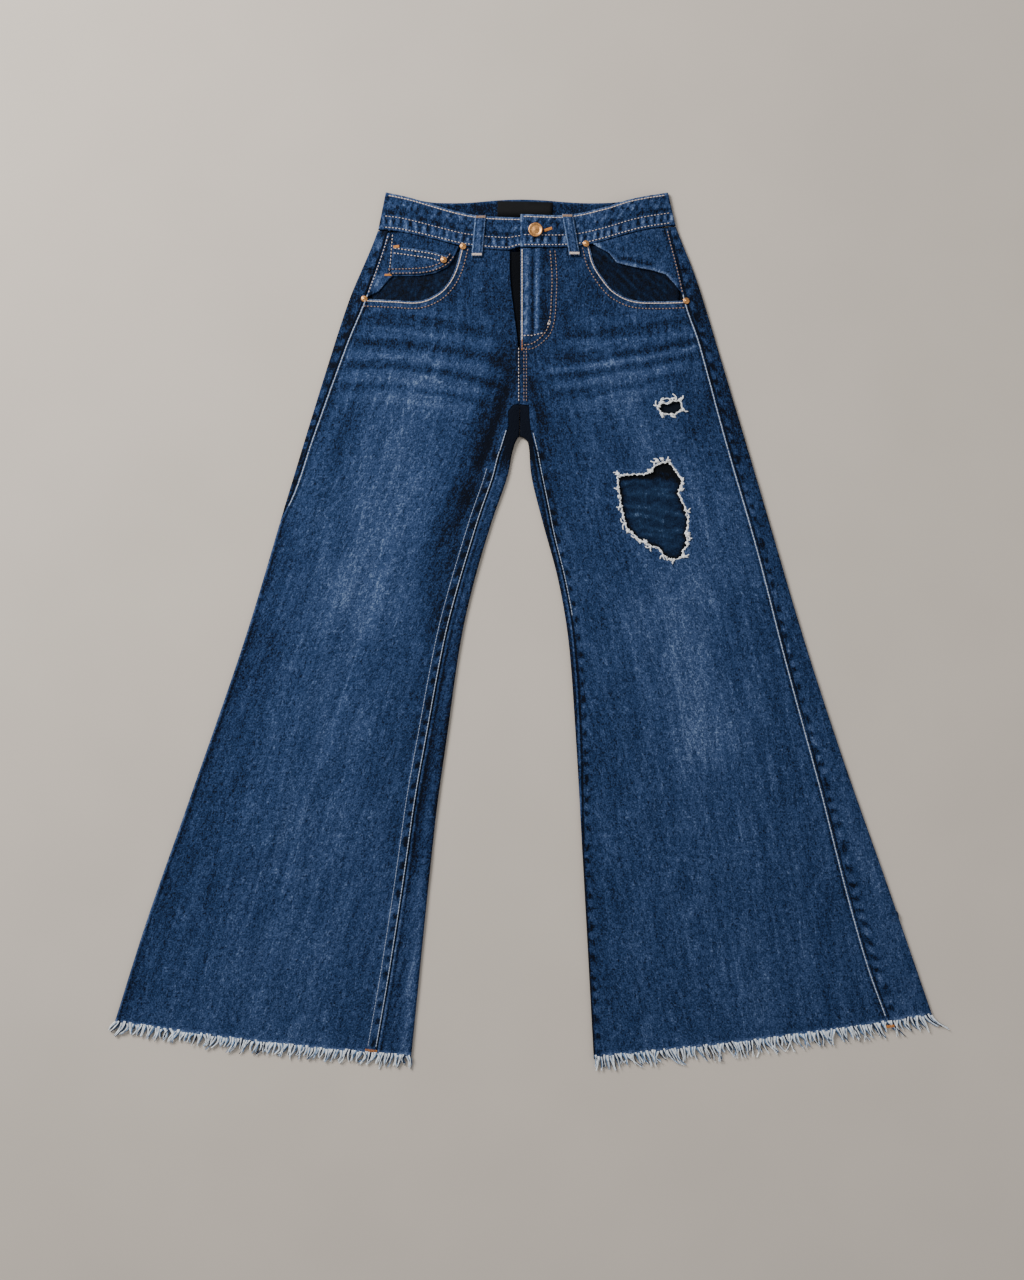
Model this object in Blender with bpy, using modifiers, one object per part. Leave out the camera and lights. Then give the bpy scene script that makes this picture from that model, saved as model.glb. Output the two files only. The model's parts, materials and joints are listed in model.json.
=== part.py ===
# Ripped wide-leg jeans, laid flat and face up on a floor.
# Metres, +Z up, +Y towards the waist. The origin is on the floor under the middle.
# "right" and "left" are the wearer's, so the right leg lies on the -X side.
import math
import random

import bmesh
import bpy
from mathutils import Vector

OBJECT_NAME = "ripped_jeans"

# Walls and gaps
CLOTH = 0.0012
BAND = 0.0020
LINING = 0.0010
GAP = 0.0003
LAYER_GAP = 0.0006
HALF_SEAM = 0.00025
SHORT_STEP = 0.0005
BAND_SEAM = 0.0005

# Heights of the layers, at the middle of each wall
FLOOR_LAYER = CLOTH / 2
TOP_LAYER = 0.0040
MOUTH_RISE = 0.0060
FLY_STEP = CLOTH + LAYER_GAP
OVERLAP_STEP = BAND + GAP
UNDER_LAYER = -(CLOTH / 2 + LAYER_GAP + LINING / 2)
OVER_LAYER = CLOTH / 2 + LAYER_GAP + LINING / 2

# Edges of the legs, as (x, y) from the waist down
OUTER_RIGHT = [(-0.163, 0.521), (-0.172, 0.477), (-0.206, 0.394), (-0.237, 0.299), (-0.280, 0.158),
               (-0.330, -0.008), (-0.395, -0.196), (-0.445, -0.338), (-0.484, -0.461)]
INNER_RIGHT = [(-0.0085, 0.228), (-0.0127, 0.2165), (-0.019, 0.186), (-0.037, 0.134), (-0.058, 0.063),
               (-0.074, -0.008), (-0.091, -0.126), (-0.104, -0.220), (-0.133, -0.502)]
OUTER_LEFT = [(0.171, 0.521), (0.180, 0.482), (0.205, 0.417), (0.241, 0.299), (0.283, 0.158),
              (0.332, -0.008), (0.378, -0.149), (0.428, -0.291), (0.484, -0.453)]
INNER_LEFT = [(0.006, 0.240), (0.0068, 0.2165), (0.0095, 0.185), (0.022, 0.134), (0.041, 0.063),
              (0.053, -0.008), (0.062, -0.126), (0.070, -0.267), (0.083, -0.503)]

# How far each side seam lies in from the folded edge, on top, as (distance, y)
OUTSEAM_RIGHT = [(0.012, 0.477), (0.018, 0.395), (0.014, 0.343), (0.008, 0.232), (0.006, 0.169), (0.0, 0.134)]
OUTSEAM_LEFT = [(0.010, 0.477), (0.021, 0.391), (0.019, 0.342), (0.022, 0.224), (0.023, 0.087),
                (0.029, -0.045), (0.037, -0.176), (0.049, -0.297), (0.055, -0.392), (0.054, -0.466)]
INSEAM_RIGHT = [(0.012, 0.228), (0.015, 0.194), (0.015, 0.087), (0.018, -0.014), (0.024, -0.153),
                (0.028, -0.284), (0.034, -0.399), (0.041, -0.495)]
INSEAM_LEFT = [(0.006, 0.228), (0.011, 0.181), (0.007, 0.100), (0.006, -0.100), (0.0, -0.267)]

# The middle seams, the crotch and the hems. Each crotch turn is an edge point and
# the way its fold faces; the outer heights are where those rows meet the outer edge.
CENTRE = -0.0045
FLY_EDGE = -0.0035
SLIT_EDGE = -0.0160
CROTCH_RIGHT = [(-0.0047, 0.2707), (-0.0120, 0.2707), (-0.0182, 0.262), (-0.0177, 0.245)]
CROTCH_LEFT = [(-0.0043, 0.2707), (0.0065, 0.2700), (0.0072, 0.255), (0.0090, 0.238)]
CROTCH_OUTER = (0.250, 0.245, 0.240, 0.234, 0.228, 0.220)
CROTCH_TURNS = {
    "right": [((-0.0052, 0.2320), (0.0, 1.0)), ((-0.0061, 0.2318), (-0.1, 1.0)),
              ((-0.0071, 0.2308), (-0.4, 0.9)), ((-0.0080, 0.2290), (-0.7, 0.7)),
              ((-0.0095, 0.2262), (-0.9, 0.4)), ((-0.0110, 0.2220), (-1.0, 0.1))],
    "left": [((-0.0038, 0.2320), (0.0, 1.0)), ((-0.0022, 0.2318), (0.1, 1.0)),
             ((0.0004, 0.2308), (0.4, 0.9)), ((0.0030, 0.2290), (0.7, 0.7)),
             ((0.0050, 0.2262), (0.9, 0.4)), ((0.0060, 0.2220), (1.0, 0.1))],
}
CROTCH = {"right": CROTCH_RIGHT, "left": CROTCH_LEFT}
HEM_BOW = 0.004
WAIST_BOW = {"right": 0.0, "left": 0.0020}
LEG_ROWS = 12
OUTER = {"right": OUTER_RIGHT, "left": OUTER_LEFT}
INNER = {"right": INNER_RIGHT, "left": INNER_LEFT}
OUTSEAM = {"right": OUTSEAM_RIGHT, "left": OUTSEAM_LEFT}
INSEAM = {"right": INSEAM_RIGHT, "left": INSEAM_LEFT}
CENTRE_EDGE = {"right": CENTRE - HALF_SEAM, "left": CENTRE + HALF_SEAM}
INWARD = {"right": 1.0, "left": -1.0}

# Where the leg rows start and end, as the y of the outer and the inner edge
LEG_TOP = (0.212, 0.2165)
HEM = {"right": (-0.461, -0.502), "left": (-0.453, -0.503)}

# Waistband edges, as (x, y)
BAND_TOP_RIGHT = [(-0.163, 0.521), (-0.134, 0.514), (-0.081, 0.498), (-0.040, 0.491), (0.036, 0.489)]
BAND_LOW_RIGHT = [(-0.172, 0.477), (-0.146, 0.474), (-0.099, 0.463), (-0.0735, 0.457), (-0.020, 0.4512),
                  (-0.0055, 0.4548), (0.036, 0.4548)]
BAND_TOP_LEFT = [(-0.0035, 0.493), (0.050, 0.4925), (0.095, 0.502), (0.126, 0.512), (0.171, 0.521)]
BAND_LOW_LEFT = [(-0.0035, 0.454), (0.043, 0.4545), (0.0775, 0.4585), (0.137, 0.475), (0.180, 0.483)]
BAND_TOP_BACK = [(-0.163, 0.521), (-0.101, 0.509), (-0.004, 0.513), (0.100, 0.509), (0.171, 0.521)]
BAND_LOW_BACK = [(-0.172, 0.477), (CENTRE, 0.466), (0.180, 0.483)]

# Pocket mouths, from the waistband to the outseam, each point with the height
# on the middle front line that its row of cloth runs to
SCOOP_RIGHT = [((-0.0735, 0.4558), 0.4500), ((-0.080, 0.432), 0.425), ((-0.089, 0.414), 0.402),
               ((-0.103, 0.4005), 0.381), ((-0.124, 0.3925), 0.363), ((-0.155, 0.3935), 0.345)]
SCOOP_LEFT = [((0.0775, 0.4578), 0.4534), ((0.083, 0.437), 0.430), ((0.094, 0.419), 0.405),
              ((0.108, 0.4035), 0.382), ((0.130, 0.3935), 0.360), ((0.160, 0.3920), 0.338)]

# Broad soft folds of the top layer: two ends, half width and height
FOLDS = [((-0.100, 0.180), (-0.200, -0.200), 0.050, 0.0014),
         ((-0.300, -0.180), (-0.360, -0.400), 0.050, 0.0013),
         ((0.060, -0.020), (0.149, -0.200), 0.045, 0.0016),
         ((0.250, 0.050), (0.300, -0.330), 0.050, 0.0013),
         ((-0.170, 0.330), (-0.040, 0.312), 0.030, 0.0012),
         ((0.060, 0.312), (0.170, 0.345), 0.030, 0.0012)]

# Pieces under the back: middle x, middle y, half width, half height
LOOP_WIDTH = 0.0125
BACK_LOOPS = {"right": (-0.118, 0.4865, 0.0063, 0.0220), "centre": (CENTRE, 0.4860, 0.0063, 0.0255),
              "left": (0.118, 0.4875, 0.0063, 0.0215)}
BACK_POCKETS = {"right": (-0.105, 0.315, 0.066, 0.072), "left": (0.098, 0.315, 0.066, 0.072)}
PAD_REACH = 0.024
PAD_FADE = 0.020

# Rips in the left thigh
LARGE_RIP = [(0.112, 0.186), (0.147, 0.189), (0.155, 0.198), (0.172, 0.202), (0.187, 0.181), (0.183, 0.166),
             (0.192, 0.145), (0.195, 0.134), (0.192, 0.119), (0.192, 0.103), (0.188, 0.091), (0.171, 0.087),
             (0.160, 0.101), (0.137, 0.110), (0.122, 0.125), (0.116, 0.146), (0.114, 0.165)]
SMALL_RIP = [(0.159, 0.267), (0.162, 0.273), (0.175, 0.274), (0.185, 0.276), (0.188, 0.264), (0.179, 0.258),
             (0.163, 0.259)]
CUTTER_BOTTOM = 0.0032
CUTTER_DEPTH = 0.012
PATCH = [(0.100, 0.205), (0.205, 0.214), (0.211, 0.080), (0.160, 0.072), (0.104, 0.090)]

# Small parts laid in or on the front
FACING_RIGHT = [(-0.0765, 0.4560), (-0.0830, 0.4410), (-0.0900, 0.4320), (-0.1050, 0.4250), (-0.1240, 0.4220),
                (-0.1550, 0.4220), (-0.1630, 0.4140), (-0.1710, 0.4040)]
FACING_LEFT = [(0.0820, 0.4590), (0.0880, 0.4550), (0.1010, 0.4480), (0.1100, 0.4370), (0.1320, 0.4320),
               (0.1510, 0.4290), (0.1680, 0.4240), (0.1790, 0.4120)]
BAG_RIGHT = [(-0.070, 0.4530), (-0.069, 0.4300), (-0.080, 0.4040), (-0.100, 0.3860), (-0.130, 0.3780),
             (-0.160, 0.3800), (-0.176, 0.3850), (-0.180, 0.4010), (-0.156, 0.4360), (-0.105, 0.4380)]
BAG_LEFT = [(0.074, 0.4560), (0.075, 0.4300), (0.090, 0.4040), (0.108, 0.3870), (0.137, 0.3770),
            (0.165, 0.3780), (0.183, 0.3850), (0.184, 0.4030), (0.176, 0.4300), (0.130, 0.4450),
            (0.096, 0.4590)]
COIN_POCKET = [(-0.1540, 0.4570), (-0.1300, 0.4535), (-0.1080, 0.4500), (-0.0890, 0.4445), (-0.0945, 0.4345),
               (-0.1060, 0.4275), (-0.1240, 0.4240), (-0.1565, 0.4240)]
FLY_FACING = [(-0.0033, 0.3395), (0.0120, 0.3405), (0.0240, 0.3500), (0.0300, 0.3620), (0.0325, 0.3850),
              (0.0330, 0.4530), (-0.0033, 0.4530)]
FLY_SHIELD = [(-0.0210, 0.3430), (0.0260, 0.3430), (0.0280, 0.4495), (-0.0210, 0.4495)]
LABEL = [(-0.0310, 0.4915), (0.0340, 0.4905), (0.0345, 0.5095), (-0.0305, 0.5110)]
LABEL_WALL = 0.0006
FRONT_LOOPS = {"right": ((-0.0505, 0.4915), (-0.0550, 0.4440)), "left": ((0.0515, 0.4925), (0.0600, 0.4450))}
RIVET_RADIUS = 0.0040
BUTTON_RADIUS = 0.0085
BUTTON_PLACE = (0.0140, 0.4740)
RIVETS = {"right_inner": (-0.0713, 0.4560), "right_outer": (-0.1880, 0.3950), "left_inner": (0.0735, 0.4590),
          "left_outer": (0.1920, 0.3925), "coin": (-0.0940, 0.4400)}

# Frayed hems
STRIP_WIDTH = 0.0026
STRANDS = 36
FRINGE_LENGTH = {"right": 0.0150, "left": 0.0185}
ROOT_HEIGHT = {"front": TOP_LAYER, "back": 0.0007}
STRAND_FALL = {"front": (0.0008, 0.0017), "back": (0.0002, 0.0003)}
SPLAY = 1.25
SPLAY_REACH = 0.18

# Colours: base colour, roughness, metallic
DENIM = ((0.030, 0.065, 0.150, 1.0), 0.85, 0.0)
DARK_DENIM = ((0.008, 0.018, 0.045, 1.0), 0.90, 0.0)
LABEL_BLACK = ((0.004, 0.004, 0.004, 1.0), 0.70, 0.0)
COPPER = ((0.55, 0.25, 0.10, 1.0), 0.35, 1.0)
THREAD_PALE = ((0.40, 0.46, 0.52, 1.0), 0.90, 0.0)


def between(a, b, share):
    return a + (b - a) * share


def smooth(low, high, value):
    share = min(max((value - low) / (high - low), 0.0), 1.0)
    return share * share * (3.0 - 2.0 * share)


def curve_value(points, at):
    """Value of a smooth line through (value, key) points, at one key."""
    pts = sorted((key, value) for value, key in points)
    at = min(max(at, pts[0][0]), pts[-1][0])
    index = 0
    while index < len(pts) - 2 and at > pts[index + 1][0]:
        index += 1
    (k0, v0), (k1, v1) = pts[index], pts[index + 1]
    slope = (v1 - v0) / (k1 - k0)

    def tangent(i):
        if i == 0 or i == len(pts) - 1:
            return slope
        return (pts[i + 1][1] - pts[i - 1][1]) / (pts[i + 1][0] - pts[i - 1][0])

    t = (at - k0) / (k1 - k0)
    m0, m1 = tangent(index) * (k1 - k0), tangent(index + 1) * (k1 - k0)
    return ((2 * t**3 - 3 * t**2 + 1) * v0 + (t**3 - 2 * t**2 + t) * m0
            + (-2 * t**3 + 3 * t**2) * v1 + (t**3 - t**2) * m1)


def edge_height(points, x):
    """Height y of an edge given as (x, y) points, at one x."""
    return curve_value([(y, key) for key, y in points], x)


# Height fields of the two layers, at the middle of the cloth
def fold_height(x, y):
    total = 0.0
    for start, end, half_width, height in FOLDS:
        a, b, p = Vector(start), Vector(end), Vector((x, y))
        along = min(max((p - a).dot(b - a) / (b - a).length_squared, 0.0), 1.0)
        distance = (p - a.lerp(b, along)).length
        if distance < half_width:
            total += height * (1.0 - (distance / half_width) ** 2) ** 2
    return total


def front_height(x, y):
    mouth = max(0.0, 1.0 - ((x - 0.004) / 0.168) ** 2) * smooth(0.355, 0.455, y)
    return TOP_LAYER + pad_height(x, y) + MOUTH_RISE * mouth + fold_height(x, y)


def left_front_height(x, y):
    fly = (1.0 - smooth(0.036, 0.085, x)) * smooth(0.322, 0.337, y)
    return front_height(x, y) + FLY_STEP * fly


def right_band_height(x, y):
    return front_height(x, y) + (BAND - CLOTH) / 2


def left_band_height(x, y):
    return right_band_height(x, y) + OVERLAP_STEP * (1.0 - smooth(0.038, 0.100, x))


def pad_height(x, y):
    """How far the back is lifted by the loops and pockets that lie under it."""
    lift = 0.0
    for middle_x, middle_y, half_x, half_y in [*BACK_LOOPS.values(), *BACK_POCKETS.values()]:
        away = math.hypot(max(abs(x - middle_x) - half_x, 0.0), max(abs(y - middle_y) - half_y, 0.0))
        lift = max(lift, 1.0 - min(max((away - PAD_REACH) / PAD_FADE, 0.0), 1.0))
    return (CLOTH + GAP) * lift


def back_height(x, y):
    return FLOOR_LAYER + pad_height(x, y)


def back_band_height(x, y):
    return BAND / 2 + pad_height(x, y)


class Fold:
    """A folded edge, where cloth turns from the floor layer up to the top layer."""

    def __init__(self, edge, inward, low=back_height, high=front_height, wall=CLOTH):
        self.edge = Vector(edge)
        self.inward = Vector(inward).normalized()
        self.low, self.high = low, high
        near = self.edge + self.inward * 0.003
        bottom, top = low(near.x, near.y), high(near.x, near.y)
        self.radius = (top - bottom) / 2
        self.middle = (top + bottom) / 2
        self.reach = wall / 2 + self.radius
        self.quarter = math.pi * self.radius / 2

    def seam(self, distance):
        """Length along the cloth from the outermost line to a seam on top."""
        if distance < self.reach:
            return self.quarter * distance / self.reach
        return self.quarter + distance - self.reach

    def point(self, along):
        if abs(along) <= self.quarter:
            angle = along / self.radius
            flat = self.edge + self.inward * (self.reach - self.radius * math.cos(angle))
            return Vector((flat.x, flat.y, self.middle + self.radius * math.sin(angle)))
        flat = self.edge + self.inward * (self.reach + abs(along) - self.quarter)
        height = self.high if along > 0 else self.low
        return Vector((flat.x, flat.y, height(flat.x, flat.y)))

    def wrap(self, end):
        """Six points from the floor layer round to the length called end, the last step short."""
        last = max(SHORT_STEP, (end - self.quarter) / 2)
        turn = min(self.quarter, between(-self.quarter, end - last, 0.75))
        lengths = [between(-self.quarter, turn, i / 3) for i in range(4)]
        return [self.point(length) for length in lengths + [end - last, end]]


# Making objects
def material(name, look):
    colour, roughness, metallic = look
    made = bpy.data.materials.new(name)
    made.use_nodes = True
    shader = made.node_tree.nodes["Principled BSDF"]
    shader.inputs["Base Color"].default_value = colour
    shader.inputs["Roughness"].default_value = roughness
    shader.inputs["Metallic"].default_value = metallic
    made.diffuse_color = colour
    return made


def finish(name, bm, look, collection):
    mesh = bpy.data.meshes.new(name)
    bm.to_mesh(mesh)
    bm.free()
    mesh.materials.append(material(name, look))
    made = bpy.data.objects.new(name, mesh)
    collection.objects.link(made)
    return made


def thicken(made, wall):
    solidify = made.modifiers.new("Cloth", "SOLIDIFY")
    solidify.thickness = wall
    solidify.offset = 0.0


def sheet(name, rows, wall, look, collection):
    """A panel of cloth through rows of points at the middle of its wall."""
    across, down = len(rows[0]), len(rows)
    bm = bmesh.new()
    bmesh.ops.create_grid(bm, x_segments=across - 1, y_segments=down - 1, size=0.5)
    bm.verts.ensure_lookup_table()
    for index, vert in enumerate(bm.verts):
        vert.co = rows[index // across][index % across]
    made = finish(name, bm, look, collection)
    thicken(made, wall)
    return made


def laid(name, outline, height, lift, wall, look, collection, spacing=0.02):
    """A flat piece cut to an outline and laid on a height field."""
    bm = bmesh.new()
    bm.faces.new([bm.verts.new((x, y, 0.0)) for x, y in outline])
    for axis in (0, 1):
        values = [point[axis] for point in outline]
        line = math.ceil(min(values) / spacing) * spacing
        while line < max(values):
            place, normal = [0.0, 0.0, 0.0], [0.0, 0.0, 0.0]
            place[axis], normal[axis] = line, 1.0
            bmesh.ops.bisect_plane(bm, geom=bm.verts[:] + bm.edges[:] + bm.faces[:], dist=0.0004,
                                   plane_co=place, plane_no=normal)
            line += spacing
    bmesh.ops.triangulate(bm, faces=bm.faces)
    for vert in bm.verts:
        vert.co.z = height(vert.co.x, vert.co.y) + lift
    bmesh.ops.recalc_face_normals(bm, faces=bm.faces)
    made = finish(name, bm, look, collection)
    thicken(made, wall)
    return made


def flat_plate(name, outline, bottom, wall, look, collection):
    """A plate cut to an outline, made from a filled curve."""
    curve = bpy.data.curves.new(name, "CURVE")
    curve.dimensions = "2D"
    curve.fill_mode = "BOTH"
    curve.extrude = wall / 2
    spline = curve.splines.new("POLY")
    spline.points.add(len(outline) - 1)
    for point, (x, y) in zip(spline.points, outline):
        point.co = (x, y, 0.0, 1.0)
    spline.use_cyclic_u = True
    curve.materials.append(material(name, look))
    made = bpy.data.objects.new(name, curve)
    made.location.z = bottom + wall / 2
    collection.objects.link(made)
    return made


def as_mesh(made, collection):
    """Turns a curve object into a welded mesh object."""
    bpy.context.view_layer.update()
    mesh = bpy.data.meshes.new_from_object(made.evaluated_get(bpy.context.evaluated_depsgraph_get()))
    bm = bmesh.new()
    bm.from_mesh(mesh)
    bmesh.ops.remove_doubles(bm, verts=bm.verts, dist=0.00001)
    bm.to_mesh(mesh)
    bm.free()
    name, place = made.name, made.matrix_world.copy()
    bpy.data.objects.remove(made)
    welded = bpy.data.objects.new(name, mesh)
    welded.matrix_world = place
    collection.objects.link(welded)
    return welded


# Rows of cloth
def hip_fold(side, y):
    """The outer fold above the legs, and the length along it to the outseam."""
    fold = Fold((curve_value(OUTER[side], y), y), (INWARD[side], 0.0))
    return fold, fold.seam(curve_value(OUTSEAM[side], y))


def leg_rows(side):
    """Pairs of edge points, from just under the crotch to the hem."""
    pairs = []
    for index in range(LEG_ROWS + 1):
        share = (index / LEG_ROWS) ** 1.25
        outer_y = between(LEG_TOP[0], HEM[side][0], share)
        inner_y = between(LEG_TOP[1], HEM[side][1], share)
        outer = Vector((curve_value(OUTER[side], outer_y), outer_y))
        inner = Vector((curve_value(INNER[side], inner_y), inner_y))
        pairs.append((outer, inner, HEM_BOW * share**6))
    return pairs


def bowed(points, start, end, bow):
    """Points of a row from start to end, pushed down towards the hem in the middle."""
    row = end - start
    for point in points:
        share = min(max((point.xy - start).dot(row) / row.length_squared, 0.0), 1.0)
        point.y -= bow * 4.0 * share * (1.0 - share)
    return points


def front_row(start, end, height, middle=8):
    """A row of a front panel between two lists of end points, on the top layer."""
    points = list(start)
    first, last = start[-1], end[0]
    for index in range(1, middle):
        flat = first.lerp(last, index / middle)
        points.append(Vector((flat.x, flat.y, height(flat.x, flat.y))))
    return points + list(end)


def top_end(fold, seam_length):
    """Three points of a front panel, from its seam towards its middle."""
    start = seam_length + (HALF_SEAM if seam_length > fold.quarter else 1.5 * HALF_SEAM)
    flat = min(max(seam_length - fold.quarter, 0.0), 0.010) * 0.3
    lengths = (start, start + SHORT_STEP + flat, start + fold.quarter + 2 * flat)
    return [fold.point(length) for length in lengths]


def plain_end(point, toward, height):
    """Three points of a front panel, from a seam that lies flat on top."""
    start, direction = Vector(point), (Vector(toward) - Vector(point)).normalized()
    flats = [start + direction * 0.004 * index for index in range(3)]
    return [Vector((flat.x, flat.y, height(flat.x, flat.y))) for flat in flats]


def front_panel(side, height, collection):
    scoop = {"right": SCOOP_RIGHT, "left": SCOOP_LEFT}[side]
    fly_x = {"right": SLIT_EDGE, "left": FLY_EDGE}[side]
    crotch = CROTCH[side]
    rows = []
    for mouth, fly_y in scoop:
        inner = (fly_x, fly_y)
        fly_side = plain_end(inner, mouth, height)[::-1]
        rows.append(front_row(plain_end(mouth, inner, height), fly_side, height))
    bowed(rows[0], Vector(scoop[0][0]), Vector((fly_x, scoop[0][1])), WAIST_BOW[side])
    hip = [(0.395, (CENTRE_EDGE[side], 0.324)), (0.360, (CENTRE_EDGE[side], 0.310)),
           (0.325, (CENTRE_EDGE[side], 0.297)), (0.290, (CENTRE_EDGE[side], 0.284)),
           (0.262, crotch[0]), (0.251, crotch[1]), (0.240, crotch[2]), (0.227, crotch[3])]
    for outer_y, inner in hip:
        fold, length = hip_fold(side, outer_y)
        rows.append(front_row(top_end(fold, length), plain_end(inner, fold.edge, height)[::-1], height))
    for outer, inner, bow in leg_rows(side):
        outer_side = Fold(outer, inner - outer)
        inner_side = Fold(inner, outer - inner)
        start = top_end(outer_side, outer_side.seam(curve_value(OUTSEAM[side], outer.y)))
        end = top_end(inner_side, inner_side.seam(curve_value(INSEAM[side], inner.y)))
        rows.append(bowed(front_row(start, end[::-1], height), outer, inner, bow))
    return sheet(f"front_{side}", rows, CLOTH, DENIM, collection)


def floor_run(start, end, count=9):
    """Points across the floor layer, between two points and without them."""
    points = []
    for index in range(1, count):
        flat = start.lerp(end, index / count)
        points.append(Vector((flat.x, flat.y, back_height(flat.x, flat.y))))
    return points


def back_row(fold, length, tail):
    """A row of a back piece: over the outer fold, across the floor and up its inner tail."""
    outer = fold.wrap(length - HALF_SEAM)[::-1]
    return outer + floor_run(outer[-1], tail[0]) + tail


def flat_tail(side, y, outer):
    """Six points that end a row at the middle back seam, on the floor layer."""
    end = Vector((CENTRE_EDGE[side], y))
    direction = (Vector(outer) - end).normalized()
    flats = [end + direction * 0.003 * (5 - index) for index in range(6)]
    return [Vector((flat.x, flat.y, back_height(flat.x, flat.y))) for flat in flats]


def crotch_tail(edge, inward, seam_point):
    """Six points round the fold under the crotch and up to a seam point on top."""
    fold = Fold(edge, inward)
    arc = [fold.point(between(-fold.quarter, fold.quarter, index / 3)) for index in range(4)]
    seam = Vector((*seam_point, front_height(*seam_point)))
    return arc + [arc[-1].lerp(seam, 0.5), seam]


def back_rows_above(side, pairs):
    rows = []
    for outer_y, centre_y in pairs:
        fold, length = hip_fold(side, outer_y)
        rows.append(back_row(fold, length, flat_tail(side, centre_y, fold.edge)))
    return rows


def back_panel(side, collection):
    rows = back_rows_above(side, [(0.4297, 0.4047), (0.395, 0.372), (0.360, 0.343), (0.325, 0.315),
                                  (0.290, 0.287), (0.264, 0.262), (0.256, 0.243)])
    # Seam points on top, each a seam's width from the front panel's
    way = -INWARD[side]
    front = CROTCH[side]
    seam = [(front[0][0], front[0][1] - 3 * HALF_SEAM),
            (front[1][0] - way * HALF_SEAM, front[1][1] - 4 * HALF_SEAM),
            (front[2][0] - way * 2 * HALF_SEAM, front[2][1]),
            (front[3][0] - way * 2 * HALF_SEAM, front[3][1])]
    ends = [None, (CENTRE_EDGE[side] + way * 2 * HALF_SEAM, 0.252), *seam]
    for (edge, inward), outer_y, end in zip(CROTCH_TURNS[side], CROTCH_OUTER, ends):
        tail = Fold(edge, inward).wrap(0.0) if end is None else crotch_tail(edge, inward, end)
        fold, length = hip_fold(side, outer_y)
        rows.append(back_row(fold, length, tail))
    for outer, inner, bow in leg_rows(side):
        outer_side = Fold(outer, inner - outer)
        inner_side = Fold(inner, outer - inner)
        tail = inner_side.wrap(inner_side.seam(curve_value(INSEAM[side], inner.y)) - HALF_SEAM)
        length = outer_side.seam(curve_value(OUTSEAM[side], outer.y))
        rows.append(bowed(back_row(outer_side, length, tail), outer, inner, bow))
    return sheet(f"back_{side}", rows, CLOTH, DENIM, collection)


def yoke(side, collection):
    top = {"right": 0.4755, "left": 0.4803}[side]
    pairs = [(top, 0.4650), (0.460, 0.446), (0.445, 0.426), (0.4300, 0.4050)]
    rows = back_rows_above(side, pairs)
    for point in rows[0][4:]:
        point.y = min(edge_height(BAND_LOW_BACK, point.x) - 2 * HALF_SEAM, top)
    return sheet(f"yoke_{side}", rows, CLOTH, DENIM, collection)


# Waistband
def band_column(top_points, low_points, share, height):
    """Three points down the waistband, from its top edge to its lower edge."""
    top_x = between(top_points[0][0], top_points[-1][0], share)
    low_x = between(low_points[0][0], low_points[-1][0], share)
    top = Vector((top_x, edge_height(top_points, top_x)))
    low = Vector((low_x, edge_height(low_points, low_x)))
    flats = [top, top.lerp(low, 0.5), low]
    return [Vector((flat.x, flat.y, height(flat.x, flat.y))) for flat in flats]


def side_fold(side, level, height):
    """The folded edge of the waistband, at a share of its depth."""
    top, low = Vector(OUTER[side][0]), Vector(OUTER[side][1])
    edge = top.lerp(low, level)
    way = 1.0 if side == "right" else -1.0
    return Fold(edge, (way, -0.15), back_band_height, height, BAND)


def front_band(side, height, columns, collection):
    tops = {"right": BAND_TOP_RIGHT, "left": BAND_TOP_LEFT}[side]
    lows = {"right": BAND_LOW_RIGHT, "left": BAND_LOW_LEFT}[side]
    shares = [index / columns for index in range(columns + 1)]
    if side == "left":
        shares = shares[::-1]
    flat = [band_column(tops, lows, share, height) for share in shares]
    rows = []
    for level in range(3):
        fold = side_fold(side, level / 2, height)
        start = BAND_SEAM
        corner = [fold.point(length) for length in (start, start + SHORT_STEP, fold.quarter)]
        rows.append(corner + [column[level] for column in flat[1:]])
    return sheet(f"waistband_front_{side}", rows, BAND, DENIM, collection)


def back_band(columns, collection):
    flat = [band_column(BAND_TOP_BACK, BAND_LOW_BACK, index / columns, back_band_height)
            for index in range(columns + 1)]
    rows = []
    for level in range(3):
        ends = []
        for side, height in (("right", right_band_height), ("left", left_band_height)):
            fold = side_fold(side, level / 2, height)
            ends.append([fold.point(-length) for length in (BAND_SEAM, BAND_SEAM + SHORT_STEP, fold.quarter)])
        rows.append(ends[0] + [column[level] for column in flat[1:-1]] + ends[1][::-1])
    return sheet("waistband_back", rows, BAND, DENIM, collection)


def front_loop(side, height, collection):
    """A belt loop over the front waistband, arched so that a belt can pass."""
    (top_x, top_y), (low_x, low_y) = FRONT_LOOPS[side]
    steps = 6
    rows = []
    for index in range(steps + 1):
        share = index / steps
        x, y = between(top_x, low_x, share), between(top_y, low_y, share)
        arch = 0.0014 * math.sin(math.pi * share)
        row = []
        for offset in (-LOOP_WIDTH / 2, 0.0, LOOP_WIDTH / 2):
            lift = BAND / 2 + GAP * 1.5 + CLOTH / 2 + arch
            row.append(Vector((x + offset, y, height(x + offset, y) + lift)))
        rows.append(row)
    return sheet(f"belt_loop_front_{side}", rows, CLOTH, DENIM, collection)


def box_outline(middle_x, middle_y, half_x, half_y):
    return [(middle_x - half_x, middle_y - half_y), (middle_x + half_x, middle_y - half_y),
            (middle_x + half_x, middle_y + half_y), (middle_x - half_x, middle_y + half_y)]


def pocket_outline(middle_x, middle_y, half_x, half_y):
    """A back pocket: straight top, sides drawn in and a pointed lower edge."""
    return [(middle_x - half_x, middle_y + half_y), (middle_x - half_x * 0.88, middle_y - half_y * 0.68),
            (middle_x, middle_y - half_y), (middle_x + half_x * 0.88, middle_y - half_y * 0.68),
            (middle_x + half_x, middle_y + half_y)]


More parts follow.
